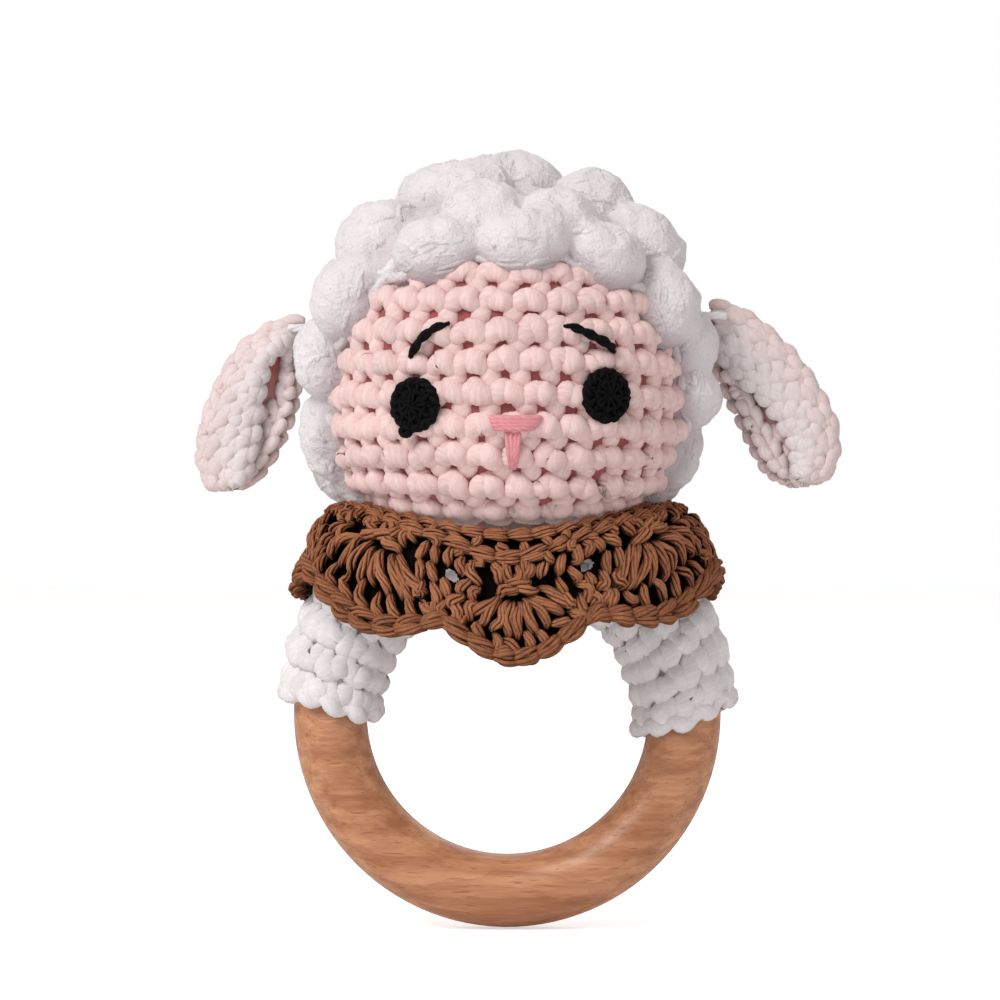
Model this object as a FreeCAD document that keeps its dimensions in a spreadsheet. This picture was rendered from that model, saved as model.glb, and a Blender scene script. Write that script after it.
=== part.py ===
"""Crochet lamb baby rattle on a beech teething ring.

Frame: millimetres, +Z up, the face looks along -Y, and the origin is the centre of the wooden ring.
The ring lies in the XZ plane. A crochet sleeve is sewn shut round its top half, and the head sits astride
the sleeve.
"""

import math
import os

import FreeCAD, Part
import Sketcher

SIZES = {
    # wooden ring and its sleeve
    "ring_major": 29.0,
    "ring_minor": 6.0,
    "sleeve_bore": 6.3,
    "sleeve_radius": 9.6,
    "sleeve_from": -1.0,
    "sleeve_to": 177.0,
    "sleeve_end_round": 2.4,
    # head: turned from a profile of a crown arc, a side arc and a rounded bottom edge
    "head_radius": 30.0,
    "head_rise": 27.0,
    "head_mid": 58.0,
    "head_side_round": 25.5,
    "head_round": 17.5,
    "skin_thick": 2.3,
    "cap_thick": 2.0,
    "cap_gap": 0.1,
    "cap_floor": 35.0,
    "face_half_width": 30.5,
    "face_half_height": 27.0,
    "face_drop": 12.0,
    "face_depth": 8.0,
    "bobble_radius": 5.6,
    "bobble_lift": 1.8,
    "small_bobble_radius": 3.9,
    "small_bobble_lift": 3.4,
    # rattle capsule
    "capsule_radius": 12.5,
    "capsule_wall": 1.2,
    "capsule_mid": 61.0,
    "lip_height": 1.2,
    "lip_wall": 0.6,
    "bead_radius": 2.0,
    "bead_gap": 0.3,
    "bead_orbit": 5.5,
    # face
    "eye_radius": 4.1,
    "eye_thick": 1.9,
    "thread_thick": 1.0,
    "thread_width": 1.3,
    # ears
    "ear_hinge_out": 35.0,
    "left_ear_up": 63.0,
    "left_ear_splay": 25.0,
    "left_ear_run": 22.5,
    "right_ear_up": 65.0,
    "right_ear_splay": 32.0,
    "right_ear_run": 25.9,
    "ear_root_radius": 2.6,
    "ear_tip_radius": 7.2,
    "ear_half_thick": 4.6,
    "ear_inner_inset": 0.6,
    "ear_slit": 2.6,
    "ear_lining": 0.8,
    "knuckle_radius": 2.1,
    "knuckle_width": 6.4,
    "yarn_radius": 0.9,
    "pin_gap": 0.06,
    # collar
    "collar_neck": 22.9,
    "collar_thick": 2.0,
    "collar_gap": 0.3,
}

LEFT, RIGHT = -1, 1
X_AXIS, Y_AXIS, Z_AXIS = FreeCAD.Vector(1, 0, 0), FreeCAD.Vector(0, 1, 0), FreeCAD.Vector(0, 0, 1)
FAR = 90.0  # longer than any part of the toy, for cutting tools

doc = FreeCAD.newDocument("lamb_rattle")
sheet = doc.addObject("Spreadsheet::Sheet", "sizes")
for row, (alias, value) in enumerate(SIZES.items(), start=1):
    sheet.set(f"A{row}", alias)
    sheet.set(f"B{row}", str(value))
    sheet.setAlias(f"B{row}", alias)
doc.recompute()

nodes = []  # the finished sub-parts, in the order they are made


def size(alias):
    """The sheet's value of one driving dimension, in millimetres or degrees."""
    return float(sheet.get(alias))


def make(kind, name, place=None, **bound):
    """A Part object whose properties follow expressions over the sheet's aliases."""
    obj = doc.addObject(kind, name)
    for prop, formula in bound.items():
        obj.setExpression(prop, formula)
    if place is not None:
        obj.Placement = place
    return obj


def at(x=0.0, y=0.0, z=0.0, turn=None):
    return FreeCAD.Placement(FreeCAD.Vector(x, y, z), turn or FreeCAD.Rotation())


def fuse(name, shapes):
    obj = doc.addObject("Part::MultiFuse", name)
    obj.Shapes = shapes
    return obj


def common(name, shapes):
    obj = doc.addObject("Part::MultiCommon", name)
    obj.Shapes = shapes
    return obj


def cut(name, base, *tools):
    """base with every tool taken away, one Part::Cut after another."""
    for i, tool in enumerate(tools):
        obj = doc.addObject("Part::Cut", name if i == len(tools) - 1 else f"{name}_less_{i + 1}")
        obj.Base, obj.Tool = base, tool
        base = obj
    return base


def keep(obj, label):
    """Names a finished sub-part after the file that holds it."""
    obj.Label = label
    nodes.append(obj)
    return obj


# ---------------------------------------------------------------- ring and sleeve
UPRIGHT = FreeCAD.Rotation(X_AXIS, 90)  # turns the XY plane into the XZ plane


def round_ring(name, radius):
    """A whole torus in the XZ plane."""
    return make("Part::Torus", name, at(turn=UPRIGHT), Radius1="sizes.ring_major", Radius2=radius)


def wooden_ring():
    return keep(round_ring("ring", "sizes.ring_minor"), "wooden_ring")


def sleeve_body(name, radius):
    """The sleeve's envelope of the given tube radius, round the top half of the ring."""
    turn = UPRIGHT.multiply(FreeCAD.Rotation(Z_AXIS, size("sleeve_from")))
    return make(
        "Part::Torus",
        name,
        at(turn=turn),
        Radius1="sizes.ring_major",
        Radius2=radius,
        Angle3="sizes.sleeve_to - sizes.sleeve_from",
    )


def ring_sleeve(envelope):
    """The envelope with its two ends drawn in to the wood, bored for the ring."""
    doc.recompute()
    low = size("ring_major") / 2
    ends = [i for i, edge in enumerate(envelope.Shape.Edges, start=1) if edge.BoundBox.ZMax < low]
    drawn_in = doc.addObject("Part::Fillet", "sleeve_drawn_in")
    drawn_in.Base = envelope
    drawn_in.Edges = [(i, size("sleeve_end_round"), size("sleeve_end_round")) for i in ends]
    return keep(cut("sleeve", drawn_in, round_ring("sleeve_bore", "sizes.sleeve_bore")), "ring_sleeve")


def yarn(name, start, end, radius="sizes.yarn_radius"):
    """One straight stitch of yarn between two points."""
    start, end = FreeCAD.Vector(*start), FreeCAD.Vector(*end)
    run = end - start
    stitch = make("Part::Cylinder", name, Radius=radius)
    stitch.Height = run.Length
    stitch.Placement = FreeCAD.Placement(start, FreeCAD.Rotation(Z_AXIS, run))
    return stitch


def stitch_group(label, stitches, *neighbours):
    """Separate stitches that share one node, cut back to the faces of the pieces they hold together."""
    return keep(cut(label + "_cut", fuse(label + "_group", stitches), *neighbours), label)


def sleeve_seam(sleeve, runs=((12.0, 54.0), (126.0, 164.0)), count=6, lean=3.0, lift=0.5, reach=1.8):
    """Whip stitches that close the sleeve along the back of the ring, on both sides of the head."""
    stitches = []
    back = size("sleeve_radius") + lift
    outer, inner = size("ring_major") + reach, size("ring_major") - reach
    for first, last in runs:
        for i in range(count):
            angle = math.radians(first + (last - first) * i / (count - 1))
            slant = angle + math.radians(lean)
            start = (outer * math.cos(angle), back, outer * math.sin(angle))
            end = (inner * math.cos(slant), back, inner * math.sin(slant))
            stitches.append(yarn(f"seam_stitch_{len(stitches) + 1}", start, end))
    return stitch_group("sleeve_seam_yarn", stitches, sleeve)


# ---------------------------------------------------------------- head
def turned(name, geometry, joins, driven):
    """A body turned about Z from a closed profile sketch; driven holds (constraint, formula) pairs."""
    body = doc.addObject("PartDesign::Body", name)
    upright = next(f for f in body.Origin.OriginFeatures if f.Role == "XZ_Plane")
    sketch = body.newObject("Sketcher::SketchObject", name + "_profile")
    sketch.AttachmentSupport = [(upright, "")]
    sketch.MapMode = "FlatFace"
    sketch.addGeometry(geometry, False)
    sketch.addConstraint(joins)
    for constraint, formula in driven:
        index = sketch.addConstraint(constraint)
        sketch.setExpression(f"Constraints[{index}]", formula)
    turn = body.newObject("PartDesign::Revolution", name + "_turn")
    turn.Profile = sketch
    turn.ReferenceAxis = (sketch, ["V_Axis"])
    turn.Angle = 360
    body.Tip = turn
    return body


def arc(x, y, radius, first, last):
    circle = Part.Circle(FreeCAD.Vector(x, y, 0), Z_AXIS, radius)
    return Part.ArcOfCircle(circle, math.radians(first), math.radians(last))


def line(x1, y1, x2, y2):
    return Part.LineSegment(FreeCAD.Vector(x1, y1, 0), FreeCAD.Vector(x2, y2, 0))


def crown_radius(out=0.0):
    """Radius of the crown arc that meets the side arc smoothly."""
    radius, rise, side = size("head_radius"), size("head_rise"), size("head_side_round")
    return ((radius - side) ** 2 + rise**2 - side**2) / (2 * (rise - side)) + out


def head_form(name, out_alias=None, sign=1):
    """The head's form; its surface is moved out (sign 1) or in (sign -1) by the size out_alias names."""
    out = sign * size(out_alias) if out_alias else 0.0
    shift = f"{'+' if sign > 0 else '-'} sizes.{out_alias}" if out_alias else ""
    back = f"{'-' if sign > 0 else '+'} sizes.{out_alias}" if out_alias else ""
    radius, rise, middle = size("head_radius"), size("head_rise"), size("head_mid")
    side, low, crown = size("head_side_round"), size("head_round"), crown_radius()
    meet = math.degrees(math.atan2(crown - rise, radius - side))
    floor, top, edge = middle - rise - out, middle + rise + out, radius + out
    geometry = [
        arc(0, middle + rise - crown, crown + out, meet, 90),
        arc(radius - side, middle, side + out, 0, meet),
        line(edge, middle, edge, floor + low + out),
        arc(radius - low, floor + low + out, low + out, 270, 360),
        line(radius - low, floor, 0, floor),
        line(0, floor, 0, top),
    ]
    rule = Sketcher.Constraint
    joins = [
        rule("Tangent", 0, 1, 1, 2),
        rule("Tangent", 1, 1, 2, 1),
        rule("Tangent", 2, 2, 3, 2),
        rule("Tangent", 3, 1, 4, 1),
        rule("Coincident", 4, 2, 5, 1),
        rule("Coincident", 5, 2, 0, 2),
        rule("PointOnObject", 5, 1, -2),
        rule("PointOnObject", 5, 2, -2),
        rule("PointOnObject", 0, 3, -2),
        rule("Horizontal", 4),
        rule("Vertical", 2),
    ]
    driven = [
        (rule("Radius", 1, side + out), f"sizes.head_side_round {shift}"),
        (rule("Radius", 3, low + out), f"sizes.head_round {shift}"),
        (rule("DistanceX", -1, 1, 2, 1, edge), f"sizes.head_radius {shift}"),
        (rule("DistanceY", -1, 1, 1, 3, middle), "sizes.head_mid"),
        (rule("DistanceY", -1, 1, 5, 1, floor), f"sizes.head_mid - sizes.head_rise {back}"),
        (rule("DistanceY", -1, 1, 5, 2, top), f"sizes.head_mid + sizes.head_rise {shift}"),
    ]
    return turned(name, geometry, joins, driven)


def profile_radius(height, out=0.0):
    """The head's radius at a height above head_mid, on a surface moved out by that much."""
    radius, rise = size("head_radius"), size("head_rise")
    side, low, crown = size("head_side_round"), size("head_round"), crown_radius()
    over_crown = height + crown - rise
    meet = (side + out) * (crown - rise) / (crown - side)
    below = -height - (rise - low)
    if height > meet:
        return math.sqrt(max(0.0, (crown + out) ** 2 - over_crown**2))
    if height >= 0:
        return radius - side + math.sqrt((side + out) ** 2 - height**2)
    if below <= 0:
        return radius + out
    return radius - low + math.sqrt(max(0.0, (low + out) ** 2 - below**2))


def head_pieces(saddle):
    outside = head_form("head_outside")
    inside = head_form("head_inside", "skin_thick", -1)
    keep(cut("skin", outside, inside, saddle), "head_skin")
    capsule = make("Part::Sphere", "capsule_room", Radius="sizes.capsule_radius")
    capsule.setExpression("Placement.Base.z", "sizes.capsule_mid")
    keep(cut("filling", inside, saddle, capsule), "head_filling")
    return outside


def neck_seam(head, sleeve, count=9, reach=15.0, lift=0.5, slant=0.7):
    """Stitches that sew the head down onto the sleeve, in front and behind."""
    stitches = []
    floor = size("head_mid") - size("head_rise")
    depth = size("sleeve_radius") + lift
    for side in (-1, 1):
        for i in range(count):
            x = -reach + 2 * reach * i / (count - 1)
            start, end = (x - slant, side * depth, floor + 1.4), (x + slant, side * depth, floor - 2.6)
            stitches.append(yarn(f"neck_stitch_{len(stitches) + 1}", start, end))
    return stitch_group("neck_seam_yarn", stitches, head, sleeve)


# ---------------------------------------------------------------- wool cap
# Rows over the crown: height above head_mid, bobbles in a full row, and the first one's angle from the
# front.
CROWN_ROWS = ((28.8, 1, 0.0), (24.6, 6, -20.0), (17.5, 10, -26.0))
# Rows round the back: height above head_mid and bobbles between the ears. Each row also has a small bobble
# beside each cheek.
BACK_ROWS = ((9.5, 5), (0.5, 4), (-8.5, 5), (-17.0, 4))
CHEEK_ANGLE = 73.5
BACK_ANGLES = (112.0, 248.0)


def in_face(x, y, z):
    """True for a bobble that would stand in the face opening, z counted from head_mid."""
    half_width, half_height = size("face_half_width") - 1, size("face_half_height") + 2
    above = z + size("face_drop")
    return y < -size("face_depth") and (x / half_width) ** 2 + (above / half_height) ** 2 < 1


def bobble(count, angle, height, kind="bobble"):
    """One bobble standing on the cap at an angle from the front."""
    radius = profile_radius(height, size(kind + "_lift"))
    x, y = radius * math.sin(math.radians(angle)), -radius * math.cos(math.radians(angle))
    if in_face(x, y, height):
        return []
    place = at(x, y, size("head_mid") + height)
    return [make("Part::Sphere", f"{kind}_{count}", place, Radius=f"sizes.{kind}_radius")]


def bobbles():
    made = []
    for height, count, first in CROWN_ROWS:
        for k in range(count):
            made += bobble(len(made) + 1, first + 360.0 * k / count, height)
    for height, count in BACK_ROWS:
        for angle in (-CHEEK_ANGLE, CHEEK_ANGLE):
            made += bobble(len(made) + 1, angle, height, "small_bobble")
        start, end = BACK_ANGLES
        inset = 0 if count % 2 else (end - start) / (2 * count)
        step = (end - start - 2 * inset) / (count - 1)
        for k in range(count):
            made += bobble(len(made) + 1, start + inset + step * k, height)
    return made


def face_cutter():
    """An opening for the face, from the hairline down, cut through the front of the cap."""
    hairline = make(
        "Part::Cylinder",
        "face_round",
        at(0, -size("face_depth"), size("head_mid") - size("face_drop"), UPRIGHT),
        Radius="sizes.face_half_width",
        Height=str(FAR),
    )
    arch_mid = size("head_mid") - size("face_drop")
    corner = at(-size("face_half_width"), -size("face_depth") - FAR, arch_mid - FAR)
    below = make("Part::Box", "face_below", corner, Length="2 * sizes.face_half_width")
    below.Width = below.Height = FAR
    brow_line = make("Part::Box", "face_top", Length=str(2 * FAR), Width=str(2 * FAR), Height=str(FAR))
    brow_line.Placement = at(-FAR, -FAR, size("head_mid") - size("face_drop") + size("face_half_height"))
    return fuse("face_opening", [cut("face_arch", hairline, brow_line), below])


def wool_cap():
    shell = head_form("cap_outside", "cap_thick")
    floor = make("Part::Box", "below_cap", Length=str(2 * FAR), Width=str(2 * FAR), Height=str(FAR))
    floor.Placement = at(-FAR, -FAR, size("cap_floor") - FAR)
    opened = cut("cap_opened", shell, face_cutter(), floor)
    woolly = fuse("cap_woolly", [opened, *bobbles()])
    keep(cut("cap", woolly, head_form("head_room", "cap_gap")), "wool_cap")
    return shell


# ---------------------------------------------------------------- rattle capsule
def shell_half(name, side):
    """One half of the capsule: side 1 is the upper half, -1 the lower."""
    first, last = (0, 90) if side > 0 else (-90, 0)
    outer = make("Part::Sphere", name + "_outer", Radius="sizes.capsule_radius")
    outer.Angle1, outer.Angle2 = first, last
    inner = make("Part::Sphere", name + "_inner", Radius="sizes.capsule_radius - sizes.capsule_wall")
    for part in (outer, inner):
        part.setExpression("Placement.Base.z", "sizes.capsule_mid")
    return cut(name + "_half", outer, inner)


def lip(name, outer_radius):
    """A ring of the capsule's inner wall, standing up from its middle plane."""
    ring = make("Part::Cylinder", name, Radius=outer_radius, Height="sizes.lip_height")
    ring.setExpression("Placement.Base.z", "sizes.capsule_mid")
    return ring


def rattle_capsule():
    """Two shells that close with a lip: the lower half's tongue stands inside the upper half."""
    inner = "sizes.capsule_radius - sizes.capsule_wall"
    tongue_room = make("Part::Sphere", "tongue_room", Radius=inner)
    tongue_room.setExpression("Placement.Base.z", "sizes.capsule_mid")
    tongue = cut("tongue", lip("tongue_outer", f"{inner} + sizes.lip_wall"), tongue_room)
    rebate = lip("rebate", f"{inner} + sizes.lip_wall")
    keep(fuse("lower_shell", [shell_half("lower", -1), tongue]), "rattle_shell_lower")
    keep(cut("upper_shell", shell_half("upper", 1), rebate), "rattle_shell_upper")


def bead_places():
    """Each bead's lowest place in the capsule: one in the middle, four round it."""
    reach = size("capsule_radius") - size("capsule_wall") - size("bead_radius") - size("bead_gap")
    orbit = size("bead_orbit")
    yield 0.0, 0.0, size("capsule_mid") - reach
    for k in range(4):
        angle = math.radians(45 + 90 * k)
        drop = math.sqrt(reach**2 - orbit**2)
        yield orbit * math.cos(angle), orbit * math.sin(angle), size("capsule_mid") - drop


def rattle_beads():
    for i, (x, y, z) in enumerate(bead_places(), start=1):
        keep(make("Part::Sphere", f"bead_{i}", at(x, y, z), Radius="sizes.bead_radius"), f"rattle_bead_{i}")


# ---------------------------------------------------------------- face
def front_layer(name, thick, head):
    """The front half of a layer of that thickness laid over the head."""
    back = make("Part::Box", name + "_back", at(-FAR, 0, 0), Width=str(FAR))
    back.Length = back.Height = 2 * FAR
    return cut(name, head_form(name + "_outer", thick), head, back)


def on_face(name, outline, layer):
    """The part of a layer over the head that lies behind outline, seen from the front."""
    return common(name, [layer, outline])


def eye(side, layer):
    name, x, z = ("left_eye", -15.1, 50.3) if side == LEFT else ("right_eye", 16.3, 52.1)
    outline = make("Part::Cylinder", name + "_round", at(x, 0, z, UPRIGHT), Radius="sizes.eye_radius")
    outline.Height = FAR
    return keep(on_face(name + "_disc", outline, layer), name)


def strand(name, start, end, width="sizes.thread_width"):
    """A straight band of thread across the front of the head, from start to end in X and Z."""
    run_x, run_z = end[0] - start[0], end[1] - start[1]
    tilt = FreeCAD.Rotation(Y_AXIS, -math.degrees(math.atan2(run_z, run_x)))
    band = make("Part::Box", name, Height=width, Width=str(FAR))
    band.Length = math.hypot(run_x, run_z)
    half = tilt.multVec(FreeCAD.Vector(0, 0, -size("thread_width") / 2))
    band.Placement = FreeCAD.Placement(FreeCAD.Vector(start[0], -FAR, start[1]) + half, tilt)
    return band


def brow(side, layer):
    """A brow of two straight stitches that lean out and down."""
    if side == LEFT:
        name, points = "left_brow", ((-15.8, 58.8), (-13.2, 61.6), (-9.7, 63.2))
    else:
        name, points = "right_brow", ((9.6, 63.2), (13.3, 61.7), (17.3, 59.6))
    stitches = [strand(f"{name}_{i + 1}", points[i], points[i + 1]) for i in range(2)]
    return keep(on_face(name + "_thread", fuse(name + "_outline", stitches), layer), name)


def nose(layer):
    bars = []
    for i in range(2):
        height = 48.0 - 1.32 * i
        bars.append(strand(f"nose_bar_{i + 1}", (-3.4 + i, height), (5.2 - i, height)))
    keep(on_face("nose_thread", fuse("nose_outline", bars), layer), "nose_stitches")
    drops = [strand(f"mouth_drop_{i + 1}", (0.0 + 1.4 * i, 45.9), (0.35 + 0.7 * i, 40.2)) for i in range(2)]
    keep(on_face("mouth_thread", fuse("mouth_outline", drops), layer), "mouth_stitches")


# ---------------------------------------------------------------- ears
EAR_OPEN = 9.0  # the fold's open side, from the ear's long axis towards the head
EAR_DEEP = 12.0  # how far the fold runs in from its open side


def teardrop(name, run_alias, inset_alias=None):
    """The ear's envelope, hanging from the origin: turned from a teardrop, then flattened front and back."""
    inset = size(inset_alias) if inset_alias else 0.0
    shift = f"- sizes.{inset_alias}" if inset_alias else ""
    root, tip, run = size("ear_root_radius"), size("ear_tip_radius"), size(run_alias)
    lean = math.degrees(math.asin((tip - root) / run))
    root_radius, tip_radius = root - inset, tip - inset
    cos_lean, sin_lean = math.cos(math.radians(lean)), math.sin(math.radians(lean))
    root_end = (root_radius * cos_lean, root_radius * sin_lean)
    tip_end = (tip_radius * cos_lean, tip_radius * sin_lean - run)
    geometry = [
        arc(0, 0, root_radius, lean, 90),
        line(*root_end, *tip_end),
        arc(0, -run, tip_radius, 270, 360 + lean),
        line(0, -run - tip_radius, 0, root_radius),
    ]
    rule = Sketcher.Constraint
    joins = [
        rule("Tangent", 0, 1, 1, 1),
        rule("Tangent", 1, 2, 2, 2),
        rule("Coincident", 2, 1, 3, 1),
        rule("Coincident", 3, 2, 0, 2),
        rule("Coincident", 0, 3, -1, 1),
        rule("PointOnObject", 2, 3, -2),
        rule("PointOnObject", 3, 1, -2),
        rule("PointOnObject", 3, 2, -2),
    ]
    driven = [
        (rule("Radius", 0, root_radius), f"sizes.ear_root_radius {shift}"),
        (rule("Radius", 2, tip_radius), f"sizes.ear_tip_radius {shift}"),
        (rule("DistanceY", 2, 3, -1, 1, run), f"sizes.{run_alias}"),
    ]
    round_drop = turned(name + "_turned", geometry, joins, driven)
    half = size("ear_half_thick") - inset
    slab = make("Part::Box", name + "_slab", at(-FAR, -half, -FAR), Length=str(2 * FAR), Height=str(2 * FAR))
    slab.setExpression("Width", f"2 * (sizes.ear_half_thick {shift})")
    return common(name, [round_drop, slab])


def ear(side, cap_form):
    """One folded ear, its pink lining, and the yarn loop that it swings on.

    The ear is made hanging straight down from its hinge line, then splayed outwards about that line.
    """
    name = "left" if side == LEFT else "right"
    hinge = FreeCAD.Vector(side * size("ear_hinge_out"), 0, size(f"{name}_ear_up"))
    hung = FreeCAD.Placement(hinge, FreeCAD.Rotation(Y_AXIS, -side * size(f"{name}_ear_splay")))
    run_alias = f"{name}_ear_run"

    def pin(label, radius, length):
        place = hung.multiply(at(0, length / 2, 0, UPRIGHT))
        return make("Part::Cylinder", f"{name}_{label}", place, Radius=radius, Height=str(length))

    def leaf(label, inset_alias=None):
        shape = teardrop(f"{name}_{label}", run_alias, inset_alias)
        shape.Placement = hung
        return shape

    def fold(label, half, deep, top=6.5, low=3.0):
        """The room between the two flaps, open towards the head."""
        long = size(run_alias) + low - top
        x = -EAR_OPEN if side == LEFT else EAR_OPEN - deep
        place = hung.multiply(at(x, -half, -top - long))
        return make(
            "Part::Box", f"{name}_{label}", place, Length=str(deep), Width=str(2 * half), Height=str(long)
        )

    half, lining = size("ear_slit") / 2, size("ear_lining")
    knuckle = pin("knuckle", "sizes.knuckle_radius", size("knuckle_width"))
    eye_hole = pin("eye_hole", "sizes.yarn_radius + sizes.pin_gap", FAR)
    solid_ear = fuse(f"{name}_leaf_knuckle", [leaf("leaf"), knuckle])
    keep(cut(f"{name}_ear", solid_ear, fold("slit", half, EAR_DEEP), eye_hole), f"{name}_ear_shell")

    lining_leaf = leaf("lining_leaf", "ear_inner_inset")
    pocket = common(f"{name}_pocket", [lining_leaf, fold("lining_slit", half, EAR_DEEP)])
    gap = fold("gap", half - lining, EAR_DEEP - lining, 6.5 + lining, 3.0 - lining)
    keep(cut(f"{name}_lining", pocket, gap), f"{name}_ear_lining")

    ends = size("knuckle_width") / 2 + 1.4
    start, end = hinge.x + side * 1.2, hinge.x - side * 5.0
    legs = [
        yarn(f"{name}_loop_leg_{i + 1}", (start, y, hinge.z), (end, y, hinge.z), "sizes.yarn_radius + 0.1")
        for i, y in enumerate((-ends, ends))
    ]
    rod = yarn(f"{name}_loop_rod", (hinge.x, -ends, hinge.z), (hinge.x, ends, hinge.z))
    keep(cut(f"{name}_loop", fuse(f"{name}_loop_whole", [rod, *legs]), cap_form), f"{name}_ear_seam_yarn")


# ---------------------------------------------------------------- collar
SCALLOPS = 7
SCALLOP_TURN = math.radians(4.0)


def collar_line(angle, along):
    """Radius and height of the collar's middle surface.

    angle is from the front, and along runs from 0 at the neck to 1 at the scalloped edge.
    """
    side = math.sin(angle) ** 2
    edge_radius = 26.0 + 8.0 * side
    back = max(0.0, -math.cos(angle)) ** 2
    edge_height = 11.4 + 9.0 * side + 3.2 * back - 2.2 * math.cos(SCALLOPS * (angle - SCALLOP_TURN))
    neck_radius, neck_height = size("collar_neck") + 0.6 * side, 29.8 + 3.4 * side
    radius = neck_radius + (edge_radius - neck_radius) * along**0.8
    height = neck_height - (neck_height - edge_height) * along ** (1.0 + 2.0 * side)
    return radius, height


def collar_section(angle, stations=(0.0, 0.2, 0.4, 0.6, 0.8, 1.0)):
    """A closed outline across the collar at one angle round the neck."""
    half = size("collar_thick") / 2
    outer, inner = [], []
    for along in stations:
        radius, height = collar_line(angle, along)
        before, after = (collar_line(angle, min(1, max(0, along + d))) for d in (-0.05, 0.05))
        run = math.hypot(after[0] - before[0], after[1] - before[1])
        normal = ((before[1] - after[1]) / run, (after[0] - before[0]) / run)
        for line, sign in ((outer, 1), (inner, -1)):
            r, z = radius + sign * half * normal[0], height + sign * half * normal[1]
            line.append(FreeCAD.Vector(r * math.sin(angle), -r * math.cos(angle), z))
    return Part.makePolygon([*outer, *reversed(inner), outer[0]])


def collar():
    """A scalloped cape over the shoulders, lofted round the neck."""
    steps = SCALLOPS * 6
    sections = [collar_section(2 * math.pi * k / steps) for k in range(steps)]
    cape = doc.addObject("Part::Feature", "collar_cape")
    cape.Shape = Part.makeLoft(sections, True, False, True)
    shoulders = sleeve_body("collar_room", "sizes.sleeve_radius + sizes.collar_gap")
    return keep(cut("collar_fitted", cape, shoulders), "collar")


# ---------------------------------------------------------------- build, check and write
def build():
    wooden_ring()
    envelope = sleeve_body("sleeve_outside", "sizes.sleeve_radius")
    ring_sleeve(envelope)
    sleeve_seam(envelope)
    head = head_pieces(envelope)
    neck_seam(head, envelope)
    cap_form = wool_cap()
    rattle_capsule()
    rattle_beads()
    eye_layer = front_layer("eye_layer", "eye_thick", head)
    thread_layer = front_layer("thread_layer", "thread_thick", head)
    for side in (LEFT, RIGHT):
        eye(side, eye_layer)
        brow(side, thread_layer)
        ear(side, cap_form)
    nose(thread_layer)
    collar()
    doc.recompute()


def check():
    for obj in doc.Objects:
        bad = [state for state in obj.State if state in ("Invalid", "Error")]
        if bad:
            raise RuntimeError(f"{obj.Label} is {bad}")
    for obj in nodes:
        if obj.Shape.isNull() or not obj.Shape.isValid() or not obj.Shape.Solids:
            raise RuntimeError(f"{obj.Label} is not a valid solid")


def write():
    os.makedirs("parts", exist_ok=True)
    for old in os.listdir("parts"):
        os.remove(os.path.join("parts", old))
    for obj in nodes:
        obj.Shape.exportStep(os.path.join("parts", obj.Label + ".step"))
        print(f"{obj.Label:22s} solids {len(obj.Shape.Solids):3d}  volume {obj.Shape.Volume:9.1f}")


build()
check()
write()
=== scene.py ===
import math

import bpy
import numpy as np
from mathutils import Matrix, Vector


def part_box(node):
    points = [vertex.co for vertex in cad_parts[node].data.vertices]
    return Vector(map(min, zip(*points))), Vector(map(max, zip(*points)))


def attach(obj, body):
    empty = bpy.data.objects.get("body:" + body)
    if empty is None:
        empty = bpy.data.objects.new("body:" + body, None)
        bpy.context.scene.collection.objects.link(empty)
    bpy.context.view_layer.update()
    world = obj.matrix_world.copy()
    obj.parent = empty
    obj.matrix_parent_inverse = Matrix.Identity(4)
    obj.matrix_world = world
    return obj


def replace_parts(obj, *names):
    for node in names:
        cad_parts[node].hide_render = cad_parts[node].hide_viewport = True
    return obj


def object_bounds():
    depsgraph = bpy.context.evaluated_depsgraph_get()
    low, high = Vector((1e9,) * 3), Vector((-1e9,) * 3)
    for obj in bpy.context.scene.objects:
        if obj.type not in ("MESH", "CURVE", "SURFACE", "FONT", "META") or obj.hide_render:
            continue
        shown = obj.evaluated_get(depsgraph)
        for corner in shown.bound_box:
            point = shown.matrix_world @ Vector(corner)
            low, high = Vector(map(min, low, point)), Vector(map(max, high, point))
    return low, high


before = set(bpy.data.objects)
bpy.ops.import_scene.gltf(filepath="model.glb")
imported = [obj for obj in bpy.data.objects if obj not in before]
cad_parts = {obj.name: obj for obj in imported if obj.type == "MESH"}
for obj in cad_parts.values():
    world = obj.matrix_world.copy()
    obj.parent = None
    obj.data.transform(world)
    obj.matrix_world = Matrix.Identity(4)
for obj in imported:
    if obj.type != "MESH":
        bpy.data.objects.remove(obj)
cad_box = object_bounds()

# The looks of a crochet lamb rattle. Lengths here are in millimetres until a mesh is made in metres.
# Every crocheted piece is built from strands: tubes that follow a stitch's path over a chart, which is
# a function from two places on a surface and a height above it to a point. Angles round the head run
# from the front (-Y) towards +X.

RNG = np.random.default_rng(11)
MM = 0.001
DEG = math.pi / 180
FULL = 2 * math.pi
CAMERA_X, CAMERA_Y, CAMERA_Z = -1.2, -615.0, 35.0


def unit(vectors):
    return vectors / np.maximum(np.linalg.norm(vectors, axis=-1, keepdims=True), 1e-9)


def smooth(points, count):
    """A smooth line through points (the last axis but one), as count evenly spaced samples."""
    points = np.asarray(points, float)
    last = points.shape[-2] - 1
    place = np.linspace(0, last, count)
    start = np.minimum(place.astype(int), last - 1)
    f = (place - start)[:, None]
    before = 2 * points[..., :1, :] - points[..., 1:2, :]
    after = 2 * points[..., -1:, :] - points[..., -2:-1, :]
    padded = np.concatenate([before, points, after], axis=-2)
    a, b, c, d = (padded[..., start + i, :] for i in range(4))
    square, cube = 2 * a - 5 * b + 4 * c - d, 3 * b - a - 3 * c + d
    return 0.5 * (2 * b + (c - a) * f + square * f**2 + cube * f**3)


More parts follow.
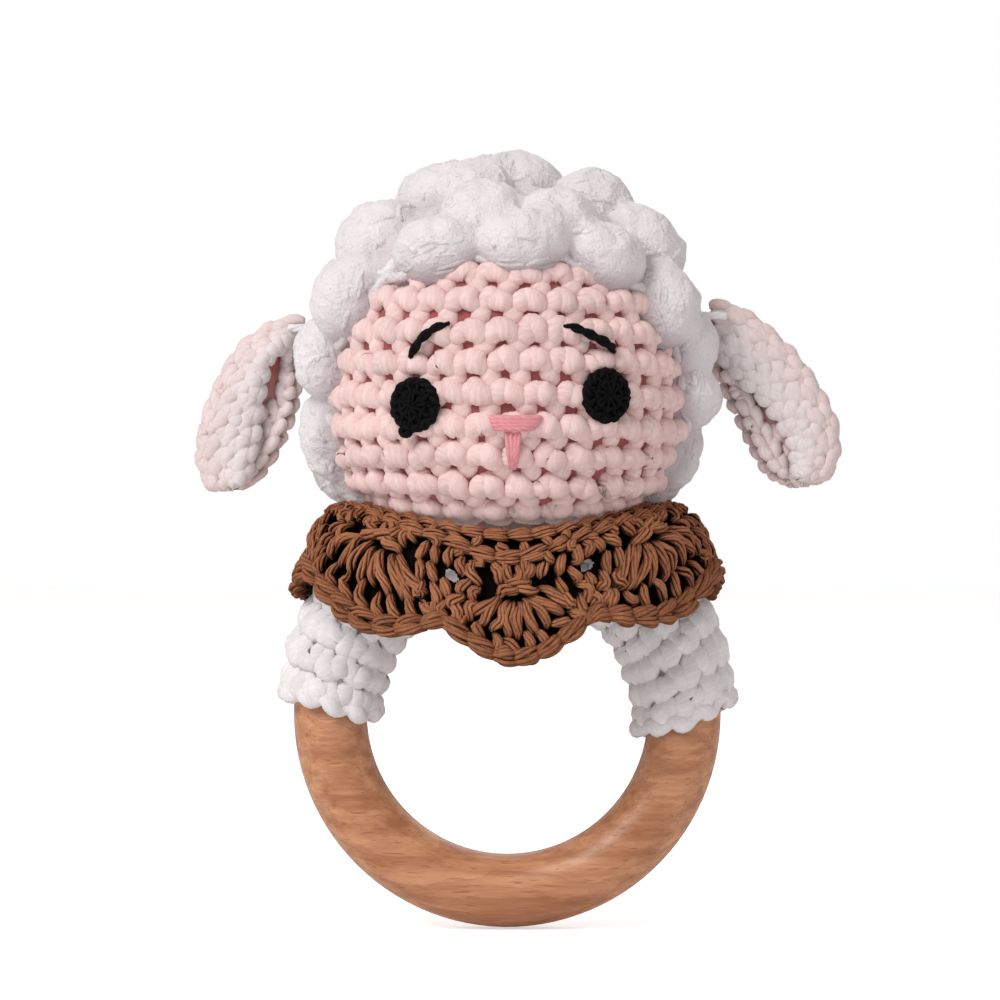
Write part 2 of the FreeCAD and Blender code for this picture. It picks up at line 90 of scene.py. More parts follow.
WAVE_COUNT, WAVE_SUM = 14, 5.3
WAVES = [
    unit(RNG.normal(0, 1, (WAVE_COUNT, 3))) * RNG.uniform(low, high, (WAVE_COUNT, 1))
    for low, high in ((0.9, 1.7), (1.8, 3.4))
]
PHASES = RNG.uniform(0, FULL, (2, WAVE_COUNT))


def mush(points):
    """Soft folds and dents of loosely spun yarn, about -1 to 1, at places in millimetres."""
    broad, small = (np.sin(points @ WAVES[i].T + PHASES[i]).sum(axis=-1) / WAVE_SUM for i in (0, 1))
    return 0.6 * broad + 0.4 * small


# ---------------------------------------------------------------- strands
def beside(line, up):
    """The sideways and upward directions at each point of strands, and how far along it is."""
    along = unit(np.gradient(line, axis=1))
    side = unit(np.cross(along, up))
    run = np.linalg.norm(np.diff(line, axis=1, prepend=line[:, :1]), axis=-1).cumsum(axis=1)
    return side, np.cross(side, along), run


class Strands:
    """Tubes gathered into one mesh. Each batch holds strands with the same number of points."""

    def __init__(self, sides=8, uneven=0.0):
        self.sides = sides
        self.uneven = uneven
        self.batches = []

    def add(self, line, radius, up, height, tint=None, blush=0.0, flat=1.0):
        """line and up are (strands, points, 3). height is over the surface, and sets the painted shade.
        """
        line = np.asarray(line, float)
        strands, points = line.shape[:2]
        radius = np.broadcast_to(np.asarray(radius, float), (strands, points))
        up = np.broadcast_to(np.asarray(up, float), line.shape)
        height = np.broadcast_to(height, (strands, points))
        tint = RNG.uniform(0, 1, strands) if tint is None else np.broadcast_to(tint, strands)
        blush = np.broadcast_to(blush, strands)
        self.batches.append((line, radius, up, height, tint, blush, flat))

    def build(self, name, material, body="lamb"):
        """The object of all the strands, riding on a body."""
        around = np.linspace(0, FULL, self.sides, endpoint=False)
        cos, sin = np.cos(around), np.sin(around)
        verts, quads, caps, strand, shade = [], [], [], [], []
        base = 0
        for line, radius, up, height, tint, blush, flat in self.batches:
            strands, points = line.shape[:2]
            side, top, run = beside(line, up)
            outward = cos[:, None] * side[:, :, None] + flat * sin[:, None] * top[:, :, None]
            ring = radius[..., None, None] * outward
            dents = mush(line[:, :, None] + ring) * radius[..., None]
            ring = ring + self.uneven * dents[..., None] * outward
            verts.append((line[:, :, None] + ring).reshape(-1, 3))
            strand.append(triples(run[..., None], cos, sin))
            # Each ring point's height over the surface, which sets its painted shade.
            rise = height[..., None] + radius[..., None] * flat * sin
            shade.append(triples(rise, tint[:, None, None], blush[:, None, None]))
            rows = np.arange(strands)[:, None, None] * points + np.arange(points - 1)[:, None]
            first = base + rows * self.sides
            here, turn = np.arange(self.sides), (np.arange(self.sides) + 1) % self.sides
            quad = [first + here, first + turn, first + self.sides + turn, first + self.sides + here]
            quads.append(np.stack(quad, axis=-1).reshape(-1, 4))
            ends = base + np.arange(strands)[:, None] * points * self.sides
            caps.append(ends + here[::-1])
            caps.append(ends + (points - 1) * self.sides + here)
            base += strands * points * self.sides
        mesh = mesh_of(name, np.concatenate(verts) * MM, np.concatenate(quads), np.concatenate(caps))
        attribute(mesh, "strand", np.concatenate(strand))
        attribute(mesh, "shade", np.concatenate(shade))
        return piece(name, mesh, material, body)


def triples(*parts):
    """Three arrays as rows of three values."""
    return np.stack(np.broadcast_arrays(*parts), axis=-1).reshape(-1, 3)


def mesh_of(name, verts, *face_sets):
    """A smooth-shaded mesh. Each array of faces has its own number of corners."""
    mesh = bpy.data.meshes.new(name)
    mesh.vertices.add(len(verts))
    mesh.vertices.foreach_set("co", np.asarray(verts, float).ravel())
    loops = np.concatenate([f.ravel() for f in face_sets])
    starts, count = [], 0
    for faces in face_sets:
        starts.append(count + np.arange(len(faces)) * faces.shape[1])
        count += faces.size
    starts = np.concatenate(starts)
    mesh.loops.add(len(loops))
    mesh.loops.foreach_set("vertex_index", loops)
    mesh.polygons.add(len(starts))
    mesh.polygons.foreach_set("loop_start", starts)
    mesh.polygons.foreach_set("use_smooth", np.ones(len(starts), bool))
    mesh.update(calc_edges=True)
    mesh.validate()
    return mesh


def attribute(mesh, name, values):
    layer = mesh.attributes.new(name, "FLOAT_VECTOR", "POINT")
    layer.data.foreach_set("vector", np.asarray(values, float).ravel())


def place_object(name, data):
    obj = bpy.data.objects.new(name, data)
    bpy.context.scene.collection.objects.link(obj)
    return obj


def piece(name, mesh, material, body):
    obj = place_object(name, mesh)
    mesh.materials.append(material)
    if body:
        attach(obj, body)
    return obj


def grid(name, points, material, body="lamb", wrap=False, keep=None, height=0.0, blush=0.0):
    """A surface through a (rows, columns, 3) grid of points, with the painted shade of that height over
    its piece.

    wrap joins the last column to the first, and keep leaves faces out."""
    rows, columns = points.shape[:2]
    left = np.arange(columns if wrap else columns - 1)
    right = (left + 1) % columns
    row = np.arange(rows - 1)[:, None] * columns
    faces = np.stack([row + left, row + right, row + columns + right, row + columns + left], axis=-1)
    faces = faces.reshape(-1, 4) if keep is None else faces[keep]
    mesh = mesh_of(name, points.reshape(-1, 3) * MM, faces)
    attribute(mesh, "strand", np.zeros((rows * columns, 3)))
    attribute(mesh, "shade", triples(height, np.full((rows, columns), 0.5), blush))
    return piece(name, mesh, material, body)


def raised(chart, a, b, w, by=1.0):
    """Points of a chart, and which way is up from each."""
    line = chart(a, b, w)
    return line, unit(chart(a, b, w + by) - line)


def lay(
    strands, chart, u, v, across, along, template, count, wobble,
    tint=None, blush=0.0, flat=1.0, plies=1,
):
    """One stitch path in every cell. A template row is (across the cell, along it, height, radius)."""
    u, v, across = (np.asarray(a, float) for a in np.broadcast_arrays(u, v, across))
    u, v, across = u.ravel(), v.ravel(), across.ravel()
    control = np.broadcast_to(np.asarray(template, float), (len(u), len(template), 4)).copy()
    control[..., :2] += RNG.normal(0, 1, control[..., :2].shape) * wobble
    control[..., 2] += RNG.normal(0, 1, control.shape[:2]) * wobble * 1.5
    control[..., 3] *= RNG.normal(1, wobble, control.shape[:2])
    path = smooth(control, count)
    place_u = u[:, None] + path[..., 0] * across[:, None]
    place_v = v[:, None] + path[..., 1] * along
    line, up = raised(chart, place_u, place_v, path[..., 2], 0.05)
    if plies > 1:
        ply = {"pitch": 16.0, "fill": 0.40, "loose": 0.10}
        twist_plies(strands, line, path[..., 3], up, plies, path[..., 2], tint, blush, **ply)
    else:
        strands.add(line, path[..., 3], up, path[..., 2], tint, blush, flat)


def twist_plies(
    strands, line, radius, up, plies, height=0.0, tint=None, blush=0.0, pitch=7.0, fill=0.56, loose=0.03
):
    """Each strand as thin plies wound round its line, one turn every pitch millimetres."""
    line = np.asarray(line, float)
    radius = np.broadcast_to(np.asarray(radius, float), line.shape[:2])
    side, top, run = beside(line, np.broadcast_to(up, line.shape))
    start = RNG.uniform(0, FULL, (len(line), 1))
    height = np.broadcast_to(height, line.shape[:2])
    tint = RNG.uniform(0, 1, len(line)) if tint is None else np.broadcast_to(tint, len(line))
    for k in range(plies):
        turn = start + FULL * (k / plies + run / pitch) + RNG.normal(0, 0.18, (len(line), 1))
        out = (radius * (1 - fill) * RNG.normal(1.05, loose, (len(line), 1)))[..., None]
        wound = line + out * (np.cos(turn)[..., None] * side + np.sin(turn)[..., None] * top)
        shades = np.clip(tint + RNG.normal(0, 2 * loose, len(line)), 0, 1)
        # Each ply is shaded by which side of the strand it lies on, so plies on the underside get more
        # painted shade.
        strands.add(wound, radius * fill, up, height + out[..., 0] * np.sin(turn), shades, blush)


# ---------------------------------------------------------------- materials
class Graph:
    """Short names for building a material's nodes."""

    def __init__(self, name):
        self.material = bpy.data.materials.new(name)
        self.material.use_nodes = True
        self.tree = self.material.node_tree
        self.shader = self.tree.nodes["Principled BSDF"]

    def put(self, socket, value):
        if isinstance(value, bpy.types.NodeSocket):
            self.tree.links.new(value, socket)
        else:
            socket.default_value = value

    def node(self, kind, out=0, inputs=None, **settings):
        node = self.tree.nodes.new(kind)
        for key, value in settings.items():
            setattr(node, key, value)
        for key, value in (inputs or {}).items():
            self.put(node.inputs[key], value)
        return node.outputs[out]

    def math(self, operation, a, b=0.0):
        return self.node("ShaderNodeMath", inputs={0: a, 1: b}, operation=operation)

    def times(self, a, b):
        return self.math("MULTIPLY", a, b)

    def plus(self, a, b):
        return self.math("ADD", a, b)

    def minus(self, a, b):
        return self.math("SUBTRACT", a, b)

    def parts(self, vector):
        split = self.tree.nodes.new("ShaderNodeSeparateXYZ")
        self.put(split.inputs[0], vector)
        return split.outputs

    def attribute(self, name):
        """The three parts of a vector attribute."""
        return self.parts(self.node("ShaderNodeAttribute", out=1, attribute_name=name))

    def vector(self, x, y, z):
        return self.node("ShaderNodeCombineXYZ", inputs={0: x, 1: y, 2: z})

    def ramp(self, value, low, high):
        inputs = {0: value, 1: low, 2: high}
        return self.node("ShaderNodeMapRange", inputs=inputs, interpolation_type="SMOOTHSTEP")

    def mix(self, factor, a, b, blend="MIX"):
        node = self.tree.nodes.new("ShaderNodeMix")
        node.data_type, node.blend_type = "RGBA", blend
        self.put(node.inputs[0], factor)
        for socket, value in ((node.inputs[6], a), (node.inputs[7], b)):
            self.put(socket, value if isinstance(value, bpy.types.NodeSocket) else (*value, 1))
        return node.outputs[2]

    def noise(self, vector, scale, detail, rough):
        inputs = {"Vector": vector, "Scale": scale, "Detail": detail, "Roughness": rough}
        return self.node("ShaderNodeTexNoise", inputs=inputs)

    def place(self, x=1.0, y=1.0, z=1.0, turn=(0, 0, 0)):
        """The object's own coordinates in millimetres, turned and then scaled."""
        own = self.node("ShaderNodeTexCoord", out=3)
        own = self.node("ShaderNodeMapping", inputs={0: own, 2: turn})
        return self.node("ShaderNodeMapping", inputs={0: own, 3: (x / MM, y / MM, z / MM)})

    def bump(self, height, distance, strength):
        inputs = {"Height": height, "Distance": distance * MM, "Strength": strength}
        self.put(self.shader.inputs["Normal"], self.node("ShaderNodeBump", inputs=inputs))

    def finish(self, colour, roughness, **settings):
        self.put(self.shader.inputs["Base Color"], colour)
        self.put(self.shader.inputs["Roughness"], roughness)
        for key, value in settings.items():
            self.shader.inputs[key.replace("_", " ")].default_value = value
        return self.material


def yarn(
    name, deep, body, light, rise=(-1.5, 1.0), fibre=0.5, streak=2.4, blush=None,
    rough=0.95, sheen=0.15, gloss=0.2, crease=0.0, folds=0.0,
):
    """Spun cotton: fine fibres along each strand, with painted shade that darkens it where it dives
    between its neighbours.

    rise is the heights over which the painted shade runs from deep to body. crease paints shade on the
    sides and undersides of each ply, less where the strand's blush says that it lies in the open, and a
    painted highlight along each ply's top. folds adds the larger dents of a loosely spun yarn."""
    g = Graph(name)
    run, cos, sin = g.attribute("strand")
    height, tint, flush = g.attribute("shade")
    spiral = g.plus(g.math("ARCTAN2", sin, cos), g.times(run, 0.9))
    wound = g.vector(
        g.times(run, 0.55),
        g.times(g.math("COSINE", spiral), streak),
        g.times(g.math("SINE", spiral), streak),
    )
    own = g.place()
    inputs = {0: wound, 1: g.vector(tint, tint, tint)}
    shifted = g.node("ShaderNodeVectorMath", inputs=inputs, operation="ADD")
    fine = g.noise(shifted, 1.6, 3.0, 0.62)
    fuzz = g.noise(own, 2.6, 3.0, 0.7)
    patches = g.noise(own, 0.16, 1.0, 0.5)
    # Painted shade: the colour runs from deep to body as the strand rises over its surface, so low
    # places between and under neighbours are darker, and the lighter fibres fade with it.
    lift = g.ramp(height, *rise)
    if crease:
        # Painted shade on the sides and undersides of each ply; a strand whose blush marks it as lying
        # in the open is lifted towards 0.7, out of most of it.
        top = g.minus(1.0, g.ramp(sin, -0.5, 0.85))
        lift = g.times(lift, g.minus(1.0, g.times(top, crease)))
        lift = g.plus(lift, g.times(flush, g.minus(0.7, lift)))
    colour = g.mix(lift, deep, body)
    bright = g.times(g.ramp(fine, 0.35, 0.75), lift)
    if crease:
        # Painted highlight along the top of each ply, in the third colour.
        painted_crest_highlight = g.times(g.ramp(sin, 0.45, 1.0), g.ramp(fine, 0.25, 0.55))
        bright = g.math("MAXIMUM", bright, g.times(g.times(painted_crest_highlight, lift), 0.85))
    colour = g.mix(bright, colour, light)
    if blush:
        colour = g.mix(g.times(flush, 0.9), colour, blush, "MULTIPLY")
    shade = g.plus(g.plus(0.84, g.times(tint, 0.12)), g.times(patches, 0.14))
    shade = g.plus(shade, g.times(g.minus(fuzz, 0.5), 0.16))
    colour = g.mix(1.0, colour, g.vector(shade, shade, shade), "MULTIPLY")
    relief = g.times(fine, fibre)
    if folds:
        relief = g.plus(relief, g.times(g.noise(own, 0.75, 3.0, 0.62), folds))
    g.bump(g.plus(relief, g.times(fuzz, 0.35)), 0.16, 0.9)
    return g.finish(colour, rough, Sheen_Weight=sheen, Sheen_Roughness=0.6, Specular_IOR_Level=gloss)


def beech():
    """Beech with its fibres along X: flecks, pores and the growth rings that the bar cuts across."""
    g = Graph("beech_wood")
    warp = g.noise(g.place(0.03, 0.06, 0.06), 1.0, 3.0, 0.6)
    along, _, layer = g.parts(g.place(0.03, 1.0, 1.0, turn=(-33 * DEG, 0, 0)))
    layer = g.plus(g.plus(layer, g.times(warp, 11.0)), along)
    late = g.math("POWER", g.math("FRACT", g.math("DIVIDE", layer, 3.4)), 3.0)
    soft = g.noise(g.place(0.035, 0.42, 0.42), 1.0, 4.0, 0.68)
    dash = g.ramp(g.noise(g.place(0.20, 2.3, 2.3), 1.0, 2.0, 0.55), 0.61, 0.70)
    pore = g.ramp(g.noise(g.place(0.7, 8.0, 8.0), 1.0, 1.0, 0.5), 0.62, 0.72)
    colour = g.mix(g.ramp(soft, 0.28, 0.72), (0.38, 0.142, 0.056), (0.66, 0.325, 0.165))
    colour = g.mix(g.times(late, 0.34), colour, (0.34, 0.130, 0.058))
    colour = g.mix(g.times(dash, 0.60), colour, (0.28, 0.090, 0.038))
    colour = g.mix(g.times(pore, 0.25), colour, (0.36, 0.16, 0.08))
    relief = g.minus(g.times(soft, 0.3), g.plus(dash, g.times(pore, 0.6)))
    g.bump(relief, 0.03, 0.5)
    return g.finish(colour, g.plus(0.42, g.times(dash, 0.16)), Coat_Weight=0.12, Coat_Roughness=0.35)


def plastic(name, colour, rough):
    """Moulded plastic with a faint orange-peel surface."""
    g = Graph(name)
    g.bump(g.noise(g.place(), 0.9, 2.0, 0.5), 0.02, 0.4)
    mottle = g.noise(g.place(), 0.12, 2.0, 0.5)
    return g.finish(g.mix(mottle, colour, tuple(0.86 * c for c in colour)), rough)


def steel():
    g = Graph("bead_steel")
    brushed = g.noise(g.place(0.4, 6.0, 6.0), 1.0, 3.0, 0.6)
    g.bump(brushed, 0.01, 0.3)
    colour = g.mix(brushed, (0.50, 0.50, 0.52), (0.68, 0.68, 0.70))
    return g.finish(colour, g.plus(0.22, g.times(brushed, 0.2)), Metallic=1.0)


# Each yarn runs from its first colour, painted shade where a strand lies low between and under its
# neighbours, to its second, its own colour; its third is its lighter fibres. The lining uses its
# colours otherwise.
WHITE = yarn(
    "white_cotton", (0.26, 0.22, 0.22), (0.78, 0.75, 0.76), (0.86, 0.845, 0.855), (-1.9, -0.5),
    fibre=0.35, streak=1.6, blush=(1.0, 0.74, 0.69),
)
PUFF = yarn(
    "puff_cotton", (0.52, 0.46, 0.48), (0.755, 0.72, 0.735), (0.85, 0.83, 0.84), (-0.2, 4.0),
    fibre=0.2, streak=1.2, folds=4.5,
)
PINK = yarn(
    "pink_cotton", (0.34, 0.085, 0.085), (0.78, 0.55, 0.53), (0.87, 0.68, 0.65), (-1.7, 0.3),
    fibre=0.12, streak=1.2,
)
# The lining runs from its pale pink to a deep red as its height attribute rises: partly the lining's
# own pink yarn, partly painted shade and reflected pink light in the ear's slit.
LINING = yarn("lining_cotton", (0.86, 0.62, 0.60), (0.72, 0.17, 0.16), (0.80, 0.27, 0.25), (-0.1, 0.8))
ROSE = yarn(
    "rose_cotton", (0.45, 0.12, 0.14), (0.74, 0.26, 0.29), (0.86, 0.42, 0.44), (-1.2, 0.4), streak=1.6
)
# The brown yarn's near-black first colour is painted shadow in the collar's open gaps, and its third is
# both lighter fibres and the painted highlight on its plies.
BROWN = yarn(
    "brown_cotton", (0.004, 0.0015, 0.001), (0.155, 0.047, 0.018), (0.60, 0.26, 0.135), (-0.25, 1.05),
    fibre=1.0, streak=3.6, rough=0.8, sheen=0.0, gloss=0.06, crease=1.1,
)
BLACK = yarn(
    "black_cotton", (0.001, 0.001, 0.001), (0.002, 0.002, 0.002), (0.010, 0.009, 0.010), (-1.0, 1.0),
    fibre=0.8, rough=0.55, sheen=0.0, gloss=0.07,
)
BEECH = beech()
CAPSULE = plastic("capsule_plastic", (0.82, 0.82, 0.80), 0.3)
FILLING = plastic("polyester_filling", (0.86, 0.86, 0.85), 0.9)
STEEL = steel()

# ---------------------------------------------------------------- head form
head_low, head_high = (Vector(c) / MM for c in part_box("head_skin"))
HEAD_RADIUS = (head_high.x - head_low.x) / 2
HALF_HEIGHT = 27.0
HEAD_MID = head_high.z - HALF_HEIGHT
SIDE_ROUND, LOW_ROUND, CROWN_ROUND = 25.5, 17.5, 33.0


def run_along(x, z):
    """How far along a line in a plane each of its points is."""
    return np.hypot(np.diff(x, prepend=x[0]), np.diff(z, prepend=z[0])).cumsum()


def head_table(steps=500):
    """The head's profile from its top down: run, radius, height, and the way the surface faces."""
    meet = math.atan2(CROWN_ROUND - HALF_HEIGHT, HEAD_RADIUS - SIDE_ROUND)
    arcs = (
        (0.0, HEAD_MID + HALF_HEIGHT - CROWN_ROUND, CROWN_ROUND, math.pi / 2, meet),
        (HEAD_RADIUS - SIDE_ROUND, HEAD_MID, SIDE_ROUND, meet, 0.0),
        (HEAD_RADIUS - LOW_ROUND, HEAD_MID - HALF_HEIGHT + LOW_ROUND, LOW_ROUND, 0.0, -math.pi / 2),
    )
    rows = []
    for x, z, radius, first, last in arcs:
        angle = np.linspace(first, last, steps)
        cos, sin = np.cos(angle), np.sin(angle)
        rows.append(np.stack([x + radius * cos, z + radius * sin, cos, sin]))
    table = np.concatenate(rows, axis=1)
    return np.vstack([run_along(*table[:2]), table])


HEAD = head_table()


def head(u, s, w):
    """The head's chart: u is the angle from the front, s the run down from the crown, w the height."""
    radius, z, out, rise = (np.interp(s, HEAD[0], HEAD[i]) for i in (1, 2, 3, 4))
    reach = radius + w * out
    return np.stack([reach * np.sin(u), -reach * np.cos(u), z + w * rise], axis=-1)


def head_radius(s):
    return np.interp(s, HEAD[0], HEAD[1])


def head_run(z):
    """How far down from the crown the surface is at height z."""
    return np.interp(-z, -HEAD[2], HEAD[0])


def on_front(x, z, w):
    """The point of the head's front that a viewer sees at x and z."""
    s = head_run(z)
    u = np.arcsin(np.clip(x / head_radius(s), -1, 1))
    return head(u, s, w)


# ---------------------------------------------------------------- stitches
# A single crochet seen from its right side: two fat legs start from one rounded foot that laps over
# the row below, and part as they rise, until their tops press against the neighbours' and dive under
# the next row.
LEFT_LEG = (
    (0.00, -0.20, -1.6, 0.80), (-0.07, 0.00, -0.55, 1.00), (-0.14, 0.24, 0.05, 1.22),
    (-0.26, 0.50, 0.42, 1.52), (-0.37, 0.76, 0.12, 1.52), (-0.43, 1.00, -1.2, 1.25),
)
RIGHT_LEG = (
    (0.04, -0.18, -1.6, 0.80), (0.11, 0.04, -0.45, 1.00), (0.17, 0.28, 0.05, 1.20),
    (0.23, 0.54, 0.36, 1.48), (0.31, 0.78, 0.02, 1.46), (0.34, 1.02, -1.2, 1.20),
)
# On the face the legs lie almost flat and join up as a wavy roll, over a short post between pits.
FACE_STITCH = (
    (
        (0.00, 0.08, -1.3, 0.70), (-0.06, 0.28, -0.3, 1.10), (-0.18, 0.47, 0.32, 1.68),
        (-0.35, 0.60, 0.38, 1.98), (-0.52, 0.70, -0.1, 1.75), (-0.66, 0.80, -1.2, 1.1),
    ),
    (
        (0.06, 0.08, -1.3, 0.70), (0.12, 0.27, -0.4, 1.00), (0.22, 0.45, 0.20, 1.55),
        (0.36, 0.58, 0.24, 1.85), (0.50, 0.70, -0.3, 1.60), (0.62, 0.82, -1.3, 1.0),
    ),
    (
        (0.00, -0.30, -1.7, 1.30), (0.03, -0.06, -0.85, 1.75),
        (0.05, 0.20, -0.70, 1.75), (0.05, 0.46, -1.2, 1.3),
    ),
)
# The wool cap's opening: its straight sides end at FACE_MID, and an arch rises FACE_RISE from there.
FACE_MID, FACE_RISE, FACE_WIDE, FACE_BACK, FACE_POWER = 46.0, 26.8, 28.3, -7.0, 2.8


def in_face(points, grow):
    """Where the wool cap, with its edge moved out by grow, would leave the face bare."""
    x, y, z = np.moveaxis(points, -1, 0)
    high = np.maximum(z - FACE_MID, 0) / (FACE_RISE + grow)
    wide = np.abs(x) / (FACE_WIDE + grow)
    return (y < FACE_BACK + grow) & (wide**FACE_POWER + high**FACE_POWER < 1)


def chin(u, s, w):
    """The head's chart with a low fold in front, where the face is pressed down on the collar."""
    fold = np.exp(-(((s - head_run(35.0)) / 4.5) ** 2)) * np.clip(np.cos(u) * 1.6 - 0.5, 0, 1)
    return head(u, s, w + 1.7 * fold)


def face_rounds(strands, first, last, pitch, cell, spiral):
    """Rounds of single crochet down the bare face, each round with as many stitches as fit."""

    def chart(u, s, w):
        return chin(u, s, w - 1.35)

    for i in range(int(round((last - first) / pitch))):
        bottom = first + (i + 1) * pitch
        count = int(round(FULL * float(head_radius(bottom - pitch / 2)) / cell))
        u = (np.arange(count) + 0.12 * i + RNG.normal(0, 0.04, count)) * FULL / count
        u = (u + math.pi) % FULL - math.pi
        v = bottom + spiral * u / FULL + 0.25 * np.sin(3 * u + i) + RNG.normal(0, 0.14, count)
        middle = chart(u, v - pitch / 2, 0.0)
        kept = in_face(middle, 5.0) & (middle[..., 2] > 30)
        if not kept.any():
            continue
        tint = RNG.uniform(0, 1, kept.sum())
        for leg in FACE_STITCH:
            lay(strands, chart, u[kept], v[kept], FULL / count, -pitch, leg, 13, 0.045, tint, flat=0.85)


def head_skin():
    strands = Strands(sides=12, uneven=0.07)
    face_rounds(strands, head_run(73.3), 80.0, 5.15, 5.2, 1.6)
    strands.build("head_stitches", PINK)
    u = np.linspace(-math.pi, math.pi, 96, endpoint=False)
    s = np.linspace(0.05, HEAD[0, -1], 60)
    ground = chin(*np.meshgrid(u, s), -1.65)
    # The ground under the face stitches gets dark pink painted shade in the pits, from its low height.
    skin = grid("head_ground", ground, PINK, wrap=True, height=-1.5)
    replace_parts(skin, "head_skin")


# ---------------------------------------------------------------- wool cap
def tangent_plane(u0, s0):
    """A place on the head and its plane: across the face, up towards the crown, and outwards."""
    origin = head(u0, s0, 0.0)
    normal = unit(head(u0, s0, 1.0) - origin)
    across = np.array([math.cos(u0), math.sin(u0), 0.0])
    return origin, across, np.cross(normal, across), normal


def flat_patch(u0, s0, a, b, c, reach):
    """Points over the head near one place, laid out on its tangent plane and bent to the head."""
    origin, across, rising, normal = tangent_plane(u0, s0)
    sag = (a**2 + b**2) / (2 * reach)
    return origin + a[..., None] * across + b[..., None] * rising + (c - sag)[..., None] * normal


def to_head(points):
    """The head chart's u and s nearest to each point."""
    out = np.hypot(points[..., 0], points[..., 1])
    hub = HEAD_MID - 4.0
    angle = np.arctan2(points[..., 2] - hub, out)
    known = np.arctan2(HEAD[2] - hub, HEAD[1])
    return np.arctan2(points[..., 0], -points[..., 1]), np.interp(-angle, -known, HEAD[0])


WOOL_FOOT = 34.0


def turned(a, b, angle):
    """Coordinates in a plane, turned by an angle."""
    cos, sin = np.cos(angle), np.sin(angle)
    return a * cos - b * sin, a * sin + b * cos


class Wool:
    """The woolly cap's surface: smooth lumps, one for each puff stitch, that run into each other."""

    BLEND = 2.8

    def __init__(self):
        self.puffs = []

    def add(self, u, s, long, wide, tall, lean):
        self.puffs.append((u, s, long, wide, tall, lean))

    def lumps(self, skin):
        total = np.zeros(skin.shape[:-1])
        for u0, s0, long, wide, tall, lean in self.puffs:
            origin, across, rising, normal = tangent_plane(u0, s0)
            offset = skin - origin
            p, q = turned(offset @ across, offset @ rising, -lean)
            near = np.clip(1 - (p / long / 1.08) ** 2 - (q / wide / 1.08) ** 2, 0, 1)
            total += np.where(offset @ normal > -9, (tall * near**0.64) ** self.BLEND, 0)
        return total ** (1 / self.BLEND)

    def rise(self, u, s):
        """The wool's height off the head, and whether there is any wool there."""
        skin = head(u, s, 0.0)
        lumps, edge = self.lumps(skin), edge_distance(skin)
        foot = np.clip((head_run(WOOL_FOOT) - s) / 1.5, 0, 1)
        base = -1.6 + 3.6 * np.sqrt(np.minimum(np.clip(edge / 2.6, 0, 1), foot))
        return base + lumps * (1 + 0.16 * (2 - base)), (edge > -0.4) | (lumps > 0.05)

    def strands(self, strands, loops=14, thick=0.50):
        """Every puff's loops of yarn, each of which runs over part of its lump, along its length."""
        for u0, s0, long, wide, tall, lean in self.puffs:
            fan = ((np.arange(loops) + 0.5) / loops * 2 - 1) * 84 * DEG + RNG.normal(0, 0.05, loops)
            start = RNG.uniform(0.3, 1.9, (loops, 1))
            t = start + np.linspace(0, 1, 10) * RNG.uniform(0.5, 1.0, (loops, 1))
            drift = RNG.normal(0, 0.16, (loops, 1)) * np.sin(t)
            drift = drift + RNG.normal(0, 0.12, (loops, 1)) * np.sin(2 * t)
            p = -long * 0.97 * np.cos(t)
            q = wide * 0.96 * np.sin(t) ** 0.8 * np.sin(fan[:, None] + drift)
            a, b = turned(p, q, lean)
            u, s = to_head(flat_patch(u0, s0, a, b, np.zeros_like(a), 30.0))
            ends = 1 - np.linspace(-1, 1, 10) ** 4
            lift = RNG.uniform(-0.86, -0.74, (loops, 1)) + 0.30 * ends
            lift = lift + 0.03 * RNG.normal(0, 1, t.shape)
            line, up, rise = on_wool(u, s, self.rise(u, s)[0] + lift)
            radius = thick * (0.35 + 0.65 * ends) * RNG.normal(1, 0.16, (loops, 1))
            strands.add(line, radius, up, rise)

    def wisps(self, strands, count=1500):
        """Loose loops that lie every way in the hollows between the puffs."""
        u = RNG.uniform(-math.pi, math.pi, count)
        s = float(head_run(WOOL_FOOT + 1.0)) * np.sqrt(RNG.uniform(0.0, 1, count))
        t = np.linspace(-1, 1, 7)
        lean = RNG.uniform(0, math.pi, (count, 1))
        half = RNG.uniform(0.9, 2.0, (count, 1))
        bow = RNG.normal(0, 0.5, (count, 1)) * (1 - t**2)
        a, b = turned(half * t, bow, lean)
        u = u[:, None] + a / np.maximum(head_radius(s)[:, None], 3.0)
        s = np.clip(s[:, None] + b, 0.1, float(head_run(WOOL_FOOT + 0.4)))
        rise, there = self.rise(u, s)
        line, up, rise = on_wool(u, s, rise + 0.34 * (1 - t**4) - 0.80)
        kept = there.all(axis=1) & (edge_distance(line).min(axis=1) > 0.6)
        strands.add(line[kept], 0.48 * RNG.normal(1, 0.15, (kept.sum(), 1)), up[kept], rise[kept])


def on_wool(u, s, rise):
    """Strands that follow the wool's folds: their lines, the way up from them, and their heights."""
    rise = rise + wool_grain(head(u, s, rise))
    return *raised(head, u, s, rise), rise


def seen(x, z, w):
    """Where on the head a point w above it shows at x and z, to the camera."""
    u, s = np.meshgrid(np.linspace(-88, 88, 177) * DEG, np.linspace(0.2, 78, 160))
    points = head(u, s, w)
    grow = CAMERA_Y / (CAMERA_Y - points[..., 1])
    shown_x = (points[..., 0] - CAMERA_X) * grow + CAMERA_X
    shown_z = (points[..., 2] - CAMERA_Z) * grow + CAMERA_Z
    miss = np.hypot(shown_x - x, shown_z - z)
    best = np.unravel_index(miss.argmin(), miss.shape)
    return float(u[best]), float(s[best])


